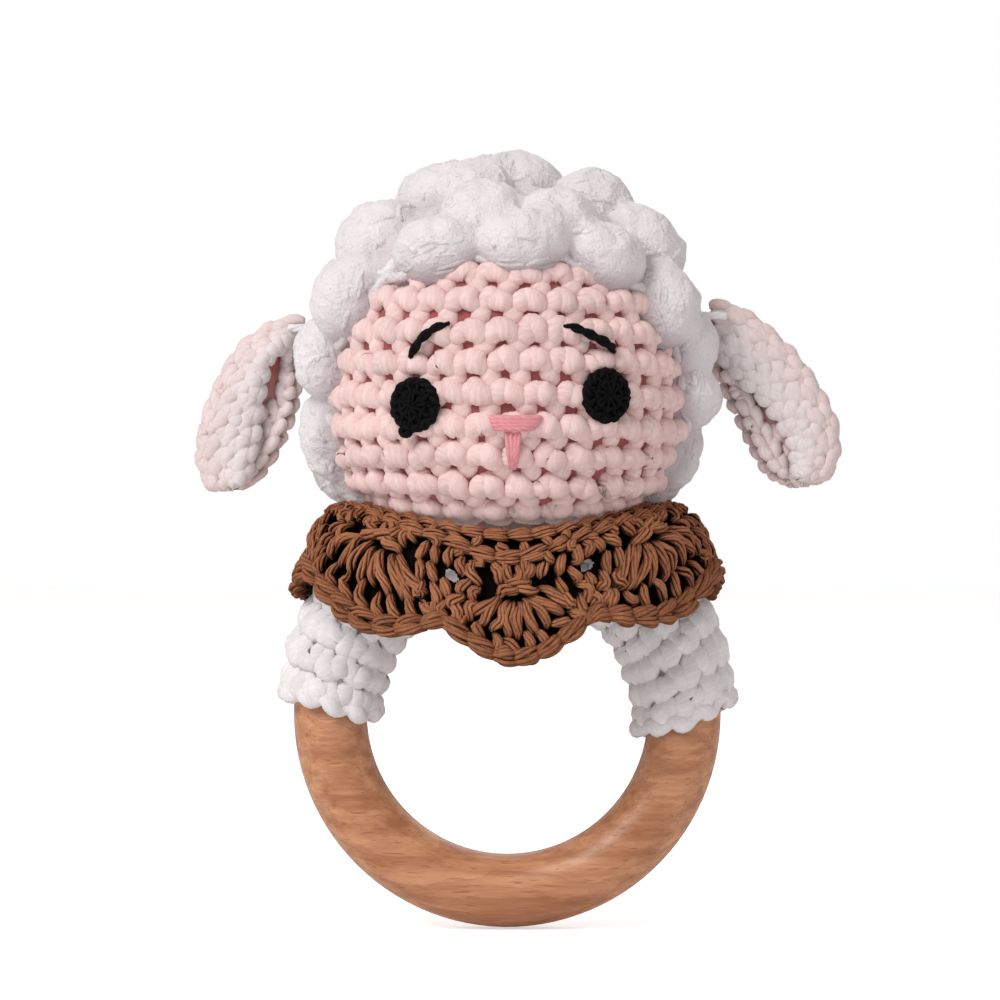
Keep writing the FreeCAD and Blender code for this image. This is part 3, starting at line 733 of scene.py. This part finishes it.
# The puffs that show from the front: x, height, half length, half width, how tall, lean in degrees.
# The cheeks' puffs have the angle from the front in degrees in place of x.
FRONT_PUFFS = (
    (-13.2, 87.6, 6.0, 5.6, 5.0, 25),
    (2.2, 89.6, 6.6, 5.6, 5.0, -10),
    (15.4, 86.2, 6.2, 5.6, 5.2, -35),
    (-4.2, 84.4, 6.2, 5.2, 5.2, 20),
    (9.0, 83.4, 6.0, 5.0, 4.8, -20),
    (-23.4, 80.4, 6.8, 5.8, 4.8, 40),
    (24.6, 79.2, 6.6, 5.6, 4.8, -60),
    (-12.8, 78.4, 6.8, 4.5, 4.4, 15),
    (3.0, 79.8, 6.8, 4.6, 4.5, 5),
    (18.2, 76.8, 6.2, 4.5, 4.3, -30),
    (-29.4, 69.8, 6.8, 5.4, 4.4, 75),
    (29.4, 68.4, 6.4, 5.0, 4.2, -80),
)
CHEEK_PUFFS = (
    (-74, 57.5, 6.2, 4.8, 4.0, 90),
    (-79, 45.4, 6.6, 4.4, 2.6, 85),
    (73, 60.0, 4.8, 4.4, 3.8, 90),
    (77, 52.0, 5.0, 4.4, 4.0, 95),
    (76, 42.0, 5.2, 4.4, 1.4, 80),
)
# The rounds of puffs behind, as (height, how many, where the first one is in degrees).
BACK_ROUNDS = (
    (84.5, 5, 110), (77.0, 9, 84), (68.4, 9, 104), (59.4, 9, 84), (50.4, 9, 104), (41.2, 9, 84),
)


def wool_cap():
    wool = Wool()
    for x, z, long, wide, tall, lean in FRONT_PUFFS:
        wool.add(*seen(x, z, 4.5), long, wide, tall, lean * DEG)
    for angle, z, long, wide, tall, lean in CHEEK_PUFFS:
        wool.add(angle * DEG, float(head_run(z)), long, wide, tall, lean * DEG)
    spots = [head(u, s, 2.0) for u, s, *_ in wool.puffs]
    for z, count, first in BACK_ROUNDS:
        for k in range(count):
            u = (first + 360 / count * k + RNG.uniform(-3, 3)) * DEG
            s = float(head_run(z + RNG.uniform(-0.7, 0.7)))
            spot = head(u, s, 2.0)
            by_ear = abs(spot[1]) < 9.5 and 34 < spot[2] < 73
            if by_ear or spot[1] < -8 or min(np.linalg.norm(spot - other) for other in spots) < 8.2:
                continue
            spots.append(spot)
            long, wide, tall = (RNG.uniform(*ends) for ends in ((6.6, 7.2), (5.6, 6.1), (4.4, 5.0)))
            wool.add(u, s, long, wide, tall, RNG.normal(90, 35) * DEG)
    strands = Strands(sides=6)
    wool.strands(strands)
    wool.wisps(strands)
    strands.build("wool_puffs", PUFF)
    u = np.linspace(-math.pi, math.pi, 440, endpoint=False)
    s = np.concatenate([[0.05], np.linspace(0.5, head_run(WOOL_FOOT), 170)])
    u, s = np.meshgrid(u, s)
    rise, there = wool.rise(u, s)
    rise += wool_grain(head(u, s, rise)) * np.clip(rise, 0, 1)
    there = there | np.roll(there, -1, axis=1)
    keep = there[:-1] | there[1:]
    # The wool's height sets its painted shade, darker in the hollows between the puffs.
    ground = grid("wool_ground", head(u, s, rise), PUFF, wrap=True, keep=keep, height=rise)
    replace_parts(ground, "wool_cap")
    hairline()


def wool_grain(points):
    """Soft folds of a woolly surface, in millimetres."""
    return 0.42 * mush(points) - 0.40 * np.abs(mush(0.62 * points[..., ::-1])) + 0.08


def edge_distance(points):
    """About how far outside the face opening each point of the head is, in millimetres."""
    x, y, z = np.moveaxis(points, -1, 0)
    high = np.maximum(z - FACE_MID, 0) / FACE_RISE
    wide = np.abs(x) / FACE_WIDE
    outside = ((wide**FACE_POWER + high**FACE_POWER) ** (1 / FACE_POWER) - 1) * FACE_WIDE
    return np.where(y < FACE_BACK, outside, np.maximum(outside, y - FACE_BACK))


def hairline():
    """Two strands of white yarn that edge the wool along the brow and cheeks."""
    angle = np.linspace(math.pi, 0, 241)
    x = FACE_WIDE * np.sign(np.cos(angle)) * np.abs(np.cos(angle)) ** (2 / FACE_POWER)
    z = FACE_MID + FACE_RISE * np.abs(np.sin(angle)) ** (2 / FACE_POWER)
    down = np.linspace(35.0, FACE_MID - 0.5, 12)
    x = np.concatenate([np.full(12, -FACE_WIDE), x, np.full(12, FACE_WIDE)])
    z = np.concatenate([down, z, down[::-1]])
    run = run_along(x, z)
    even = np.linspace(0, run[-1], 260)
    x, z = np.interp(even, run, x), np.interp(even, run, z)
    out_x, out_z = -np.gradient(z), np.gradient(x)
    size = np.hypot(out_x, out_z)
    strands = Strands(sides=12, uneven=0.16)
    for away, lift, thick, phase in ((0.45, 0.0, 0.90, 0.0), (1.9, 0.35, 1.15, 2.0)):
        ripple = even * FULL / 4.6 + phase
        wave = away + 0.22 * np.sin(ripple) + 0.12 * np.sin(even * 0.9 + phase)
        lift = lift + 0.25 * np.sin(ripple + 1.2)
        line, up = raised(on_front, x + wave * out_x / size, z + wave * out_z / size, lift)
        # Each strand is shaded as 1.6 mm higher than it lies, so that it gets little painted shade.
        strands.add(line[None], thick, up, lift + 1.6)
    strands.build("hairline_yarn", PUFF)


# ---------------------------------------------------------------- face
def eye(name, x, z, node, knot=None):
    """A round of black crochet: spokes from the middle and a coil of stitches round the rim."""
    s = float(head_run(z))
    u = math.asin(x / float(head_radius(s)))

    def patch(a, b, c):
        return flat_patch(u, s, a, b, c, 30.0)

    strands = Strands(sides=8)
    spokes = 11
    turn = np.arange(spokes) * FULL / spokes + RNG.normal(0, 0.06, spokes)
    r = np.linspace(0.1, 3.4, 7)
    bow = 0.8 + 1.0 * np.cos(r / 3.9 * math.pi / 2)
    a, b = (r * f(turn)[:, None] for f in (np.cos, np.sin))
    c = np.broadcast_to(bow, a.shape)
    line, up = raised(patch, a, b, c)
    twist_plies(strands, line, 0.34 + 0.2 * r / 3, up, 2, c - 1.0, pitch=4.0)
    for radius, lift, thick, bumps in ((3.62, 0.75, 0.84, 11), (2.1, 1.35, 0.48, 7)):
        t = np.linspace(0, FULL, 65)
        wobble = 1 + 0.035 * np.cos(bumps * t + turn[0])
        a, b = (radius * wobble * f(t)[None] for f in (np.cos, np.sin))
        c = np.full_like(a, lift) + 0.12 * np.sin(bumps * t)[None]
        line, up = raised(patch, a, b, c)
        twist_plies(strands, line, thick, up, 3, c - 0.6, pitch=4.4)
    if knot:
        t = np.linspace(0, 4 * math.pi, 30)
        a, b = knot[0] + 0.75 * np.cos(t)[None], knot[1] + 0.6 * np.sin(t)[None]
        line = patch(a, b, 0.5 + t[None] / 12)
        strands.add(line, 0.52, unit(line - patch(a, b, np.zeros_like(a))), 0.0)
    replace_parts(strands.build(name, BLACK), node)
    # The small domed patch under the stitches, closed at its rim.
    r = np.array([0.0, 0.3, 0.55, 0.8, 0.95, 1.0, 0.97])[:, None] * 3.8
    t = np.linspace(0, FULL, 32, endpoint=False)[None]
    c = np.array([1.5, 1.45, 1.3, 1.0, 0.6, 0.1, -0.8])[:, None] + 0 * t
    dome = patch(r * np.cos(t), r * np.sin(t), c)
    grid(name + "_ground", dome, BLACK, wrap=True, height=-0.6)


def threads(name, node, paths, material, plies):
    """Embroidered threads: each path is a list of (x, z, height, radius) on the front of the head."""
    strands = Strands(sides=8)
    for path in paths:
        x, z, w, radius = np.moveaxis(smooth(path, 16)[None], -1, 0)
        points, up = raised(on_front, x, z, w, 0.5)
        if plies == 1:
            strands.add(points, radius, up, 0.8)
        else:
            twist_plies(strands, points, radius, up, plies, 0.8, pitch=5.0, fill=0.62)
    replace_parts(strands.build(name, material), node)


def face():
    eye("left_eye_stitches", -14.3, 49.9, "left_eye", (-1.5, -4.1))
    eye("right_eye_stitches", 15.2, 51.4, "right_eye")
    left = (
        (-15.4, 57.0, -0.3, 0.45), (-14.7, 58.1, 0.6, 0.74), (-12.9, 60.4, 0.9, 0.82),
        (-11.0, 61.8, 0.9, 0.78), (-9.2, 62.6, -0.2, 0.50),
    )
    right = (
        (8.8, 62.4, -0.2, 0.50), (10.4, 61.8, 0.8, 0.76), (13.0, 60.6, 1.0, 0.86),
        (15.4, 59.4, 0.9, 0.86), (16.9, 58.5, -0.2, 0.55),
    )
    threads("left_brow_thread", "left_brow", [left], BLACK, 2)
    threads("right_brow_thread", "right_brow", [right], BLACK, 2)
    bars = []
    for inset, z in ((0.0, 47.8), (0.1, 47.3), (0.4, 46.8), (0.9, 46.3)):
        left_x, right_x = -3.1 + inset, 5.2 - inset
        ends = ((left_x, z, -1.0, 0.40), (left_x + 0.7, z, 0.5, 0.50))
        others = ((right_x - 0.7, z, 0.5, 0.50), (right_x, z, -1.0, 0.40))
        bars.append((*ends, ((left_x + right_x) / 2, z - 0.05, 0.85, 0.52), *others))
    threads("nose_threads", "nose_stitches", bars, ROSE, 1)
    drops = []
    for x in (-0.25, 0.45, 1.25, 1.85):
        foot = 0.8 + (x - 0.8) * 0.35
        start = ((x, 46.0, 0.1, 0.36), ((x + foot) / 2, 43.2, 0.85, 0.42))
        drops.append((*start, (foot, 40.6, 0.5, 0.36), (foot, 39.6, -0.8, 0.3)))
    threads("mouth_threads", "mouth_stitches", drops, ROSE, 1)


# ---------------------------------------------------------------- sleeve
RING, SLEEVE_RADIUS = 29.0, 8.2


def tube(u, v, w):
    """The bar's chart: u is the angle round the bar from its outer side, v the angle round the ring."""
    reach = SLEEVE_RADIUS + w
    out = RING + reach * np.cos(u)
    return np.stack([out * np.cos(v), -reach * np.sin(u), out * np.sin(v)], axis=-1)


FLAT_LEG = (0.8, 0.85, 1.1, 1.28, 1.30, 1.2)


def flattened(leg, share, lift, thick):
    """A leg that lies flatter: share of its height, then lifted, and thick times its radius."""
    shape = np.array(leg)
    shape[:, 2] = shape[:, 2] * share + lift
    shape[:, 3] *= np.array(thick)
    return shape


def ring_sleeve():
    strands = Strands(sides=10, uneven=0.08)

    def slant(u, along):
        """The sleeve's ends are cut aslant: along runs from 0 at its +X end to 1 at its -X end."""
        first, last = (-1.0 + 5.4 * np.cos(u)) * DEG, (176.6 - 3.2 * np.cos(u)) * DEG
        return first + (last - first) * along

    def sleeve_chart(u, along, w):
        return tube(u, slant(u, along), w)

    around, rows = 12, 20
    for i in range(rows):
        u = (np.arange(around) + 0.5 * (i % 2) + RNG.normal(0, 0.05, around)) * FULL / around + 0.2
        for leg in (LEFT_LEG, RIGHT_LEG):
            shape = flattened(leg, 0.34, -(0.85 if i in (0, rows - 1) else 0.45), FLAT_LEG)
            v = (i + 0.10 * np.sin(2 * u)) / rows
            lay(strands, sleeve_chart, u, v, FULL / around, 1 / rows, shape, 11, 0.05, flat=0.66)
    u = np.linspace(0, FULL, 90)
    for along, shift in ((0.0, 0.0), (1.0, 1.0)):
        wave = 0.5 * np.sin(11 * u + shift) + 0.35 * np.sin(3 * u + shift)
        place = slant(u, along) + wave / RING
        line = tube(u, place, -0.75 + 0.2 * np.cos(11 * u + shift))[None]
        up = unit(tube(u, place, 1.0)[None] - line)
        strands.add(line, 1.25 + 0.22 * np.cos(11 * u + shift), up, -0.4)
    sleeve = strands.build("sleeve_stitches", WHITE)
    u, along = np.meshgrid(np.linspace(0, FULL, 48, endpoint=False), np.linspace(0, 1, 90))
    points = sleeve_chart(u, along, -0.75)
    # The ground under the sleeve's stitches gets grey painted shade in their gaps, from its low height.
    ground = grid("sleeve_ground", points, WHITE, wrap=True, height=-1.3)
    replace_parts(sleeve, "ring_sleeve")


# ---------------------------------------------------------------- ears
class Ear:
    """A leaf folded along its outer edge, from its fold line and the two flaps' free edges."""

    STEPS = 80

    def __init__(self, fold, front, back, thick, side):
        self.edges = [smooth(line, self.STEPS) for line in (fold, front, back)]
        self.thick = thick
        self.side = side

    def edge(self, i, v):
        place = np.linspace(0, 1, self.STEPS)
        return np.stack([np.interp(v, place, self.edges[i][:, axis]) for axis in (0, 1)], axis=-1)

    def surface(self, u, v):
        """u runs from -1 at the front flap's free edge, over the fold at 0, to 1 at the back one's."""
        fold, front, back = (self.edge(i, v) for i in range(3))
        flap = np.where((u < 0)[..., None], front, back) - fold
        wide = np.linalg.norm(flap, axis=-1)
        depth = self.thick * np.minimum(1.0, wide / 5.0) * np.clip(0.45 + 3.0 * v, 0, 1)
        bend = np.minimum(depth * 1.15 / np.maximum(wide, 0.1), 0.8)
        t = np.clip(np.abs(u), 0, 1)
        turn = np.clip(t / 0.3, 0, 1) * math.pi / 2
        past = np.clip((t - 0.3) / 0.7, 0, 1)
        share = bend * (1 - np.cos(turn)) + (1 - bend) * past
        y = depth * np.sin(turn) * (1 + 0.16 * np.sin(math.pi * past) - 0.30 * past**5)
        flat = fold + flap * share[..., None]
        return np.stack([flat[..., 0], np.where(u < 0, -y, y), flat[..., 1]], axis=-1)

    def chart(self, u, v, w):
        u, v, w = np.broadcast_arrays(u, v, w)
        du, dv = 0.004, 0.004
        low_u, low_v = np.clip(u, -1 + du, 1 - du), np.clip(v, dv, 1 - dv)
        across = self.surface(low_u + du, low_v) - self.surface(low_u - du, low_v)
        along = self.surface(low_u, low_v + dv) - self.surface(low_u, low_v - dv)
        normal = unit(np.cross(across, along)) * self.side
        return self.surface(u, v) + w[..., None] * normal


# Each ear's fold, front edge and back edge, as (x, height) from the root to the tip.
LEFT_EAR = (
    (
        (-33.6, 65.4), (-39.0, 64.0), (-43.6, 60.8), (-46.6, 56.6), (-49.0, 51.8),
        (-50.6, 46.6), (-51.0, 41.4), (-49.2, 37.2), (-45.6, 35.9),
    ),
    (
        (-34.4, 61.0), (-36.4, 59.4), (-38.4, 57.6), (-39.4, 54.4), (-40.0, 50.4),
        (-40.5, 46.4), (-41.1, 42.4), (-42.3, 38.6), (-44.6, 36.3),
    ),
    (
        (-33.8, 59.6), (-34.4, 57.6), (-34.3, 55.2), (-34.5, 52.2), (-35.5, 48.8),
        (-36.8, 45.2), (-38.6, 41.8), (-41.0, 38.4), (-44.0, 36.4),
    ),
)
RIGHT_EAR = (
    (
        (33.6, 68.0), (39.0, 66.2), (43.6, 62.9), (47.8, 58.6), (51.3, 53.8),
        (53.8, 48.6), (54.5, 43.0), (52.8, 38.6), (49.0, 37.2),
    ),
    (
        (34.4, 58.4), (36.6, 55.6), (39.4, 53.0), (42.0, 50.2), (44.2, 47.2),
        (45.8, 44.4), (46.4, 41.6), (46.8, 39.2), (48.0, 37.6),
    ),
    (
        (33.8, 56.6), (35.4, 53.2), (37.2, 50.0), (38.8, 46.8), (40.4, 43.6),
        (42.0, 40.8), (43.8, 38.8), (45.6, 37.8), (47.6, 37.4),
    ),
)
EAR_ROWS = 10


def ear(name, lines, side):
    leaf = Ear(*lines, 2.9, side)
    body = f"{name}_ear"

    def columns(strands, chart, places, first, width, shape, flush_at, flush, **looks):
        """Columns of stitches down the leaf. first is the row that each column starts at."""
        for k, centre in enumerate(places):
            v = np.minimum((np.arange(first[k], EAR_ROWS) + 0.98 + 0.45 * (k % 2)) / EAR_ROWS, 0.93)
            blush = float(np.interp(centre, flush_at, flush))
            for leg in (LEFT_LEG, RIGHT_LEG):
                path, pitch = flattened(leg, *shape), -1.0 / EAR_ROWS
                lay(strands, chart, centre, v, width, pitch, path, 10, 0.05, blush=blush, **looks)

    strands = Strands(sides=10, uneven=0.06)
    places = (-0.88, -0.66, -0.44, -0.22, 0.0, 0.26, 0.52, 0.76, 0.94)
    shape, flush = (0.34, -0.58, 0.86), ((-0.6, 0.1), (0.22, 0.80))
    columns(strands, leaf.chart, places, [0] * len(places), 0.26, shape, *flush, tint=0.0, flat=0.62)
    stitches = strands.build(f"{name}_ear_stitches", WHITE, body)
    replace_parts(stitches, f"{name}_ear_shell")
    u, v = np.meshgrid(np.linspace(-1, 1, 50), np.linspace(0.0, 1.0, 40))
    flush = np.clip(0.5 + 1.5 * u, 0, 1)
    points = leaf.chart(u, v, -0.5)
    grid(f"{name}_ear_ground", points, WHITE, body, height=-0.5, blush=flush)
    # Painted shade and reflected pink light over the lining's own pink: the left lining is redder
    # towards the top of its slit, the right one paler all down.
    red = 0.95 - 1.5 * v if side > 0 else 0.50 - 0.5 * v
    lining = grid(f"{name}_ear_inside", leaf.chart(u, v, -1.75), LINING, body, height=red)
    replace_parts(lining, f"{name}_ear_lining")
    inner = Strands(sides=10, uneven=0.10)
    inside, flush = (lambda u, v, w: leaf.chart(u, v, -1.7 - w)), ((0.4, 0.9), (1.0, 0.45))
    columns(inner, inside, (0.64, 0.90), (5, 0), 0.24, (0.35, 0.25, 0.72), *flush)
    inner.build(f"{name}_ear_inner_stitches", WHITE, body)


# ---------------------------------------------------------------- collar
SCALLOPS = 7
FIRST_SCALLOP = 4.0 * DEG


def collar(u, v, w):
    """u is the angle from the front and v runs from 0 at the neck to 1 at the scalloped edge."""
    side = np.sin(u) ** 2
    scallop = 2 * np.abs(np.cos(SCALLOPS / 2 * (u - FIRST_SCALLOP))) ** 1.2 - 1
    edge_radius, neck_radius = 26.0 + 8.0 * side, 22.9 + 0.6 * side
    back = np.maximum(0, -np.cos(u)) ** 2
    edge_height, neck_height = 11.4 + 9.0 * side + 3.2 * back - 2.4 * scallop, 29.8 + 3.8 * side
    power = 1.0 + 2.0 * side
    t = np.clip(v, 0.001, 1.2)
    radius = neck_radius + (edge_radius - neck_radius) * t**0.8
    height = neck_height - (neck_height - edge_height) * t**power
    fall = power * (neck_height - edge_height) * np.maximum(t, 0.04) ** (power - 1)
    spread = 0.8 * (edge_radius - neck_radius) * np.maximum(t, 0.04) ** -0.2
    size = np.hypot(fall, spread)
    reach = radius + w * fall / size
    return np.stack([reach * np.sin(u), -reach * np.cos(u), height + w * spread / size], axis=-1)


def chain(strands, v, links, thick, spread, shift, lift, open_air=0.0):
    """A round of chain stitches: each link's two arms open over the next link."""
    step = FULL / links
    u = (np.arange(links) + shift) * step
    for sign in (-1, 1):
        arm = (
            (-0.15, sign * 0.10, lift - 0.9, thick * 0.7),
            (0.22, sign * 0.60, lift + 0.35, thick * 1.05),
            (0.68, sign * 1.05, lift + 0.65, thick * 1.10),
            (1.08, sign * 0.95, lift - 0.7, thick * 0.75),
        )
        # open_air goes in as the blush, which in the brown yarn lifts the painted crease shade.
        lay(strands, collar, u, v, step, spread, arm, 12, 0.07, blush=open_air, plies=6)


def both(across, top, low_across, low):
    """A tall stitch and its mirror image, on both sides of the gap between two scallops."""
    return [((0.5 + side * across, top), (0.5 + side * low_across, low)) for side in (-1, 1)]


# The collar's tall stitches in every scallop, as (thickness, a list of (top, bottom)). Each end is at a
# fraction of a scallop from its middle, so 0.5 is between two scallops, and so far down the collar.
POSTS = (
    (0.84, [((0.034 * k, 0.510 - 0.004 * k * k), (0.100 * k, 0.80)) for k in range(-3, 4)]
        + [((0.14 * side, 0.46), (0.36 * side, 0.76)) for side in (-1, 1)]),
    (0.80, [((0.104 * k - 0.03, 0.775), (0.118 * k + 0.04, 0.915)) for k in np.arange(-3.5, 4)]),
    (0.88, [
        ((-0.17, 0.49), (-0.005, 0.405)), ((0.16, 0.49), (0.0, 0.40)), ((-0.12, 0.40), (0.10, 0.385)),
    ]),
    (0.86, [((0.095 * k, 0.245), (0.070 * k, 0.39)) for k in range(-2, 3)]),
    (0.84, [((0.5 + 0.075 * k, 0.28), (0.5 + 0.105 * k, 0.455)) for k in range(-2, 3)]),
    (0.80, [
        ((0.5 + side * across, 0.46), (0.5 + side * (across - 0.03), 0.64))
        for side in (-1, 1) for across in (0.125, 0.205)
    ]),
    (0.86, [
        ((0.5 - 0.10, 0.62), (0.5 - 0.03, 0.81)), ((0.5 + 0.10, 0.62), (0.5 + 0.035, 0.81)),
        ((0.5, 0.60), (0.5, 0.74)),
    ]),
    (0.88, both(0.19, 0.62, 0.15, 0.79) + both(0.085, 0.73, 0.055, 0.91)
        + [((0.5, 0.76), (0.5, 0.92)), ((0.38, 0.80), (0.41, 0.92)), ((0.62, 0.80), (0.59, 0.92))]),
    (0.72, [((k / 6 + 0.02, 0.065), (k / 6 + 0.05, 0.16)) for k in range(6)]),
    (0.76, [((k / 6 - 0.3, 0.20), (k / 6 - 0.27, 0.31)) for k in range(6)]),
)


def posts(strands, middle, step, thick, places):
    """Tall stitches of one thickness, in every scallop."""
    for (top_u, top_v), (low_u, low_v) in places:
        run_u, run_v = low_u - top_u, low_v - top_v
        post = (
            (top_u - 0.02 * run_u, top_v, -1.1, thick * 0.50),
            (top_u + 0.20 * run_u, top_v + 0.20 * run_v, 0.15, thick * 0.85),
            (top_u + 0.55 * run_u, top_v + 0.55 * run_v, 0.65, thick * 1.15),
            (top_u + 0.86 * run_u, top_v + 0.84 * run_v, 0.20, thick * 0.95),
            (low_u, low_v, -1.1, thick * 0.50),
        )
        lay(strands, collar, middle, 0.0, step, 1.0, post, 12, 0.015, plies=6)


def collar_piece():
    strands = Strands(sides=6, uneven=0.08)
    chain(strands, 0.015, 38, 0.66, 0.028, 0.0, 0.1)
    chain(strands, 0.190, 38, 0.66, 0.028, 0.5, 0.1)
    # The edge chain lies in the open, so its painted crease shade is lifted.
    chain(strands, 0.945, 46, 0.92, 0.027, 0.3, 0.45, open_air=0.8)
    step = FULL / SCALLOPS
    middle = FIRST_SCALLOP + np.arange(SCALLOPS) * step
    for thick, places in POSTS:
        posts(strands, middle, step, thick, places)
    stitches = strands.build("collar_stitches", BROWN)
    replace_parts(stitches, "collar")
    u = np.linspace(-math.pi, math.pi, 504, endpoint=False)
    u, v = np.meshgrid(u, np.linspace(0.01, 0.965, 76))
    across = (u - FIRST_SCALLOP) / step % 1.0 - 0.5
    hole = (across / 0.050) ** 2 + ((v - 0.525) / 0.055) ** 2 < 1
    points = collar(u, v, -1.1)
    # A near-black sheet under the collar's open stitches: painted shadow in their gaps, with holes
    # where the white sleeve shows through.
    ground = grid("collar_shadow_sheet", points, BROWN, wrap=True, keep=~hole[:-1], height=-2.5)


# ---------------------------------------------------------------- hidden seams
def seams():
    """The yarn that sews the head to the sleeve, the sleeve shut and the ears on."""
    neck = Strands(sides=8)
    x = np.linspace(-15, 15, 9)
    for side in (-1, 1):
        stitch = ((-0.7, 10.3, 31.4), (0.0, 10.9, 30.0), (0.7, 10.2, 28.4))
        line = np.array([[(at + lean, side * y, z) for lean, y, z in stitch] for at in x])
        twist_plies(neck, smooth(line, 8), 0.8, (0, side, 0), 3)
    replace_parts(neck.build("neck_stitches", PINK), "neck_seam_yarn")
    sleeve = Strands(sides=8)
    v = np.concatenate([np.linspace(6, 56, 8), np.linspace(124, 170, 8)]) * DEG
    line = np.stack([
        tube(math.pi * 1.5 + a + 0 * v, v + 0.05 * a, 0.3 + 0.9 * math.cos(a * 3))
        for a in (-0.35, -0.15, 0.15, 0.35)
    ], axis=1)
    twist_plies(sleeve, smooth(line, 9), 0.7, (0, 1, 0), 3)
    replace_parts(sleeve.build("sleeve_whip_stitches", WHITE), "sleeve_seam_yarn")
    for name in ("left", "right"):
        node = f"{name}_ear_seam_yarn"
        low, high = (Vector(c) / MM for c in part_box(node))
        mid = (low + high) / 2
        out, inward = (low.x + 1.2, high.x) if name == "left" else (high.x - 1.2, low.x)
        loop = Strands(sides=8)
        reach, bend = 4.9, 4.9 * 0.96
        places = ((inward, -reach), (out, -bend), (out, 0), (out, bend), (inward, reach))
        path = [(x, y, mid.z) for x, y in places]
        twist_plies(loop, smooth(path, 26)[None], 0.65, (0, 0, 1), 3)
        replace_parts(loop.build(f"{name}_ear_whip_stitch", WHITE), node)


# ---------------------------------------------------------------- carried-over CAD pieces
def cad_materials():
    looks = {"wooden_ring": BEECH, "head_filling": FILLING}
    looks.update({f"rattle_shell_{half}": CAPSULE for half in ("lower", "upper")})
    looks.update({f"rattle_bead_{i}": STEEL for i in range(1, 6)})
    for node, material in looks.items():
        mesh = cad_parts[node].data
        mesh.materials.clear()
        mesh.materials.append(material)


# ---------------------------------------------------------------- stage
def stage():
    g = Graph("pale_floor")
    mottle = g.noise(g.place(), 0.02, 2.0, 0.5)
    g.shader.inputs["Emission Color"].default_value = (1, 1, 1, 1)
    material = g.finish(g.mix(mottle, (0.90, 0.90, 0.90), (0.88, 0.88, 0.88)), 0.8)
    seen_plainly = g.node("ShaderNodeLightPath", out=0)
    g.put(g.shader.inputs["Emission Strength"], g.times(seen_plainly, 0.55))
    floor_z = cad_box[0][2] / MM - 0.2
    half = 2500
    corners = np.array([[(x, y, floor_z) for x in (-half, half)] for y in (-half, half)])
    floor = grid("floor", corners, material, None)

    def light(name, place, aim, size, power, colour=(1, 1, 1)):
        data = bpy.data.lights.new(name, "AREA")
        data.shape, data.size, data.energy, data.color = "DISK", size, power, colour
        obj = place_object(name, data)
        obj.location = place
        obj.rotation_euler = (Vector(aim) - Vector(place)).to_track_quat("-Z", "Y").to_euler()

    light("key_light", (-0.62, -0.75, 0.80), (0, 0, 0.03), 0.6, 9.6, (1.0, 0.985, 0.975))
    light("fill_light", (0.75, -0.45, 0.30), (0, 0, 0.03), 0.9, 0.4, (1.0, 0.95, 0.94))
    light("back_light", (0.15, 0.70, 0.55), (0, 0, 0.05), 0.7, 1.5)
    world = bpy.data.worlds.new("studio")
    world.use_nodes = True
    nodes, links = world.node_tree.nodes, world.node_tree.links
    pick = nodes.new("ShaderNodeMixShader")
    links.new(nodes.new("ShaderNodeLightPath").outputs["Is Camera Ray"], pick.inputs[0])
    skies = (
        (nodes["Background"], (1, 0.935, 0.925, 1), 0.50),
        (nodes.new("ShaderNodeBackground"), (1, 1, 1, 1), 1.0),
    )
    for i, (sky, tone, power) in enumerate(skies):
        sky.inputs[0].default_value, sky.inputs[1].default_value = tone, power
        links.new(sky.outputs[0], pick.inputs[i + 1])
    links.new(pick.outputs[0], nodes["World Output"].inputs[0])
    bpy.context.scene.world = world
    data = bpy.data.cameras.new("camera")
    data.lens, data.sensor_width = 135, 36
    camera = place_object("camera", data)
    camera.location = (CAMERA_X * MM, CAMERA_Y * MM, CAMERA_Z * MM)
    camera.rotation_euler = (math.pi / 2, 0, 0)
    bpy.context.scene.camera = camera
    bpy.context.scene.view_settings.view_transform = "Standard"


head_skin()
wool_cap()
face()
ring_sleeve()
ear("left", LEFT_EAR, 1)
ear("right", RIGHT_EAR, -1)
collar_piece()
seams()
cad_materials()
stage()
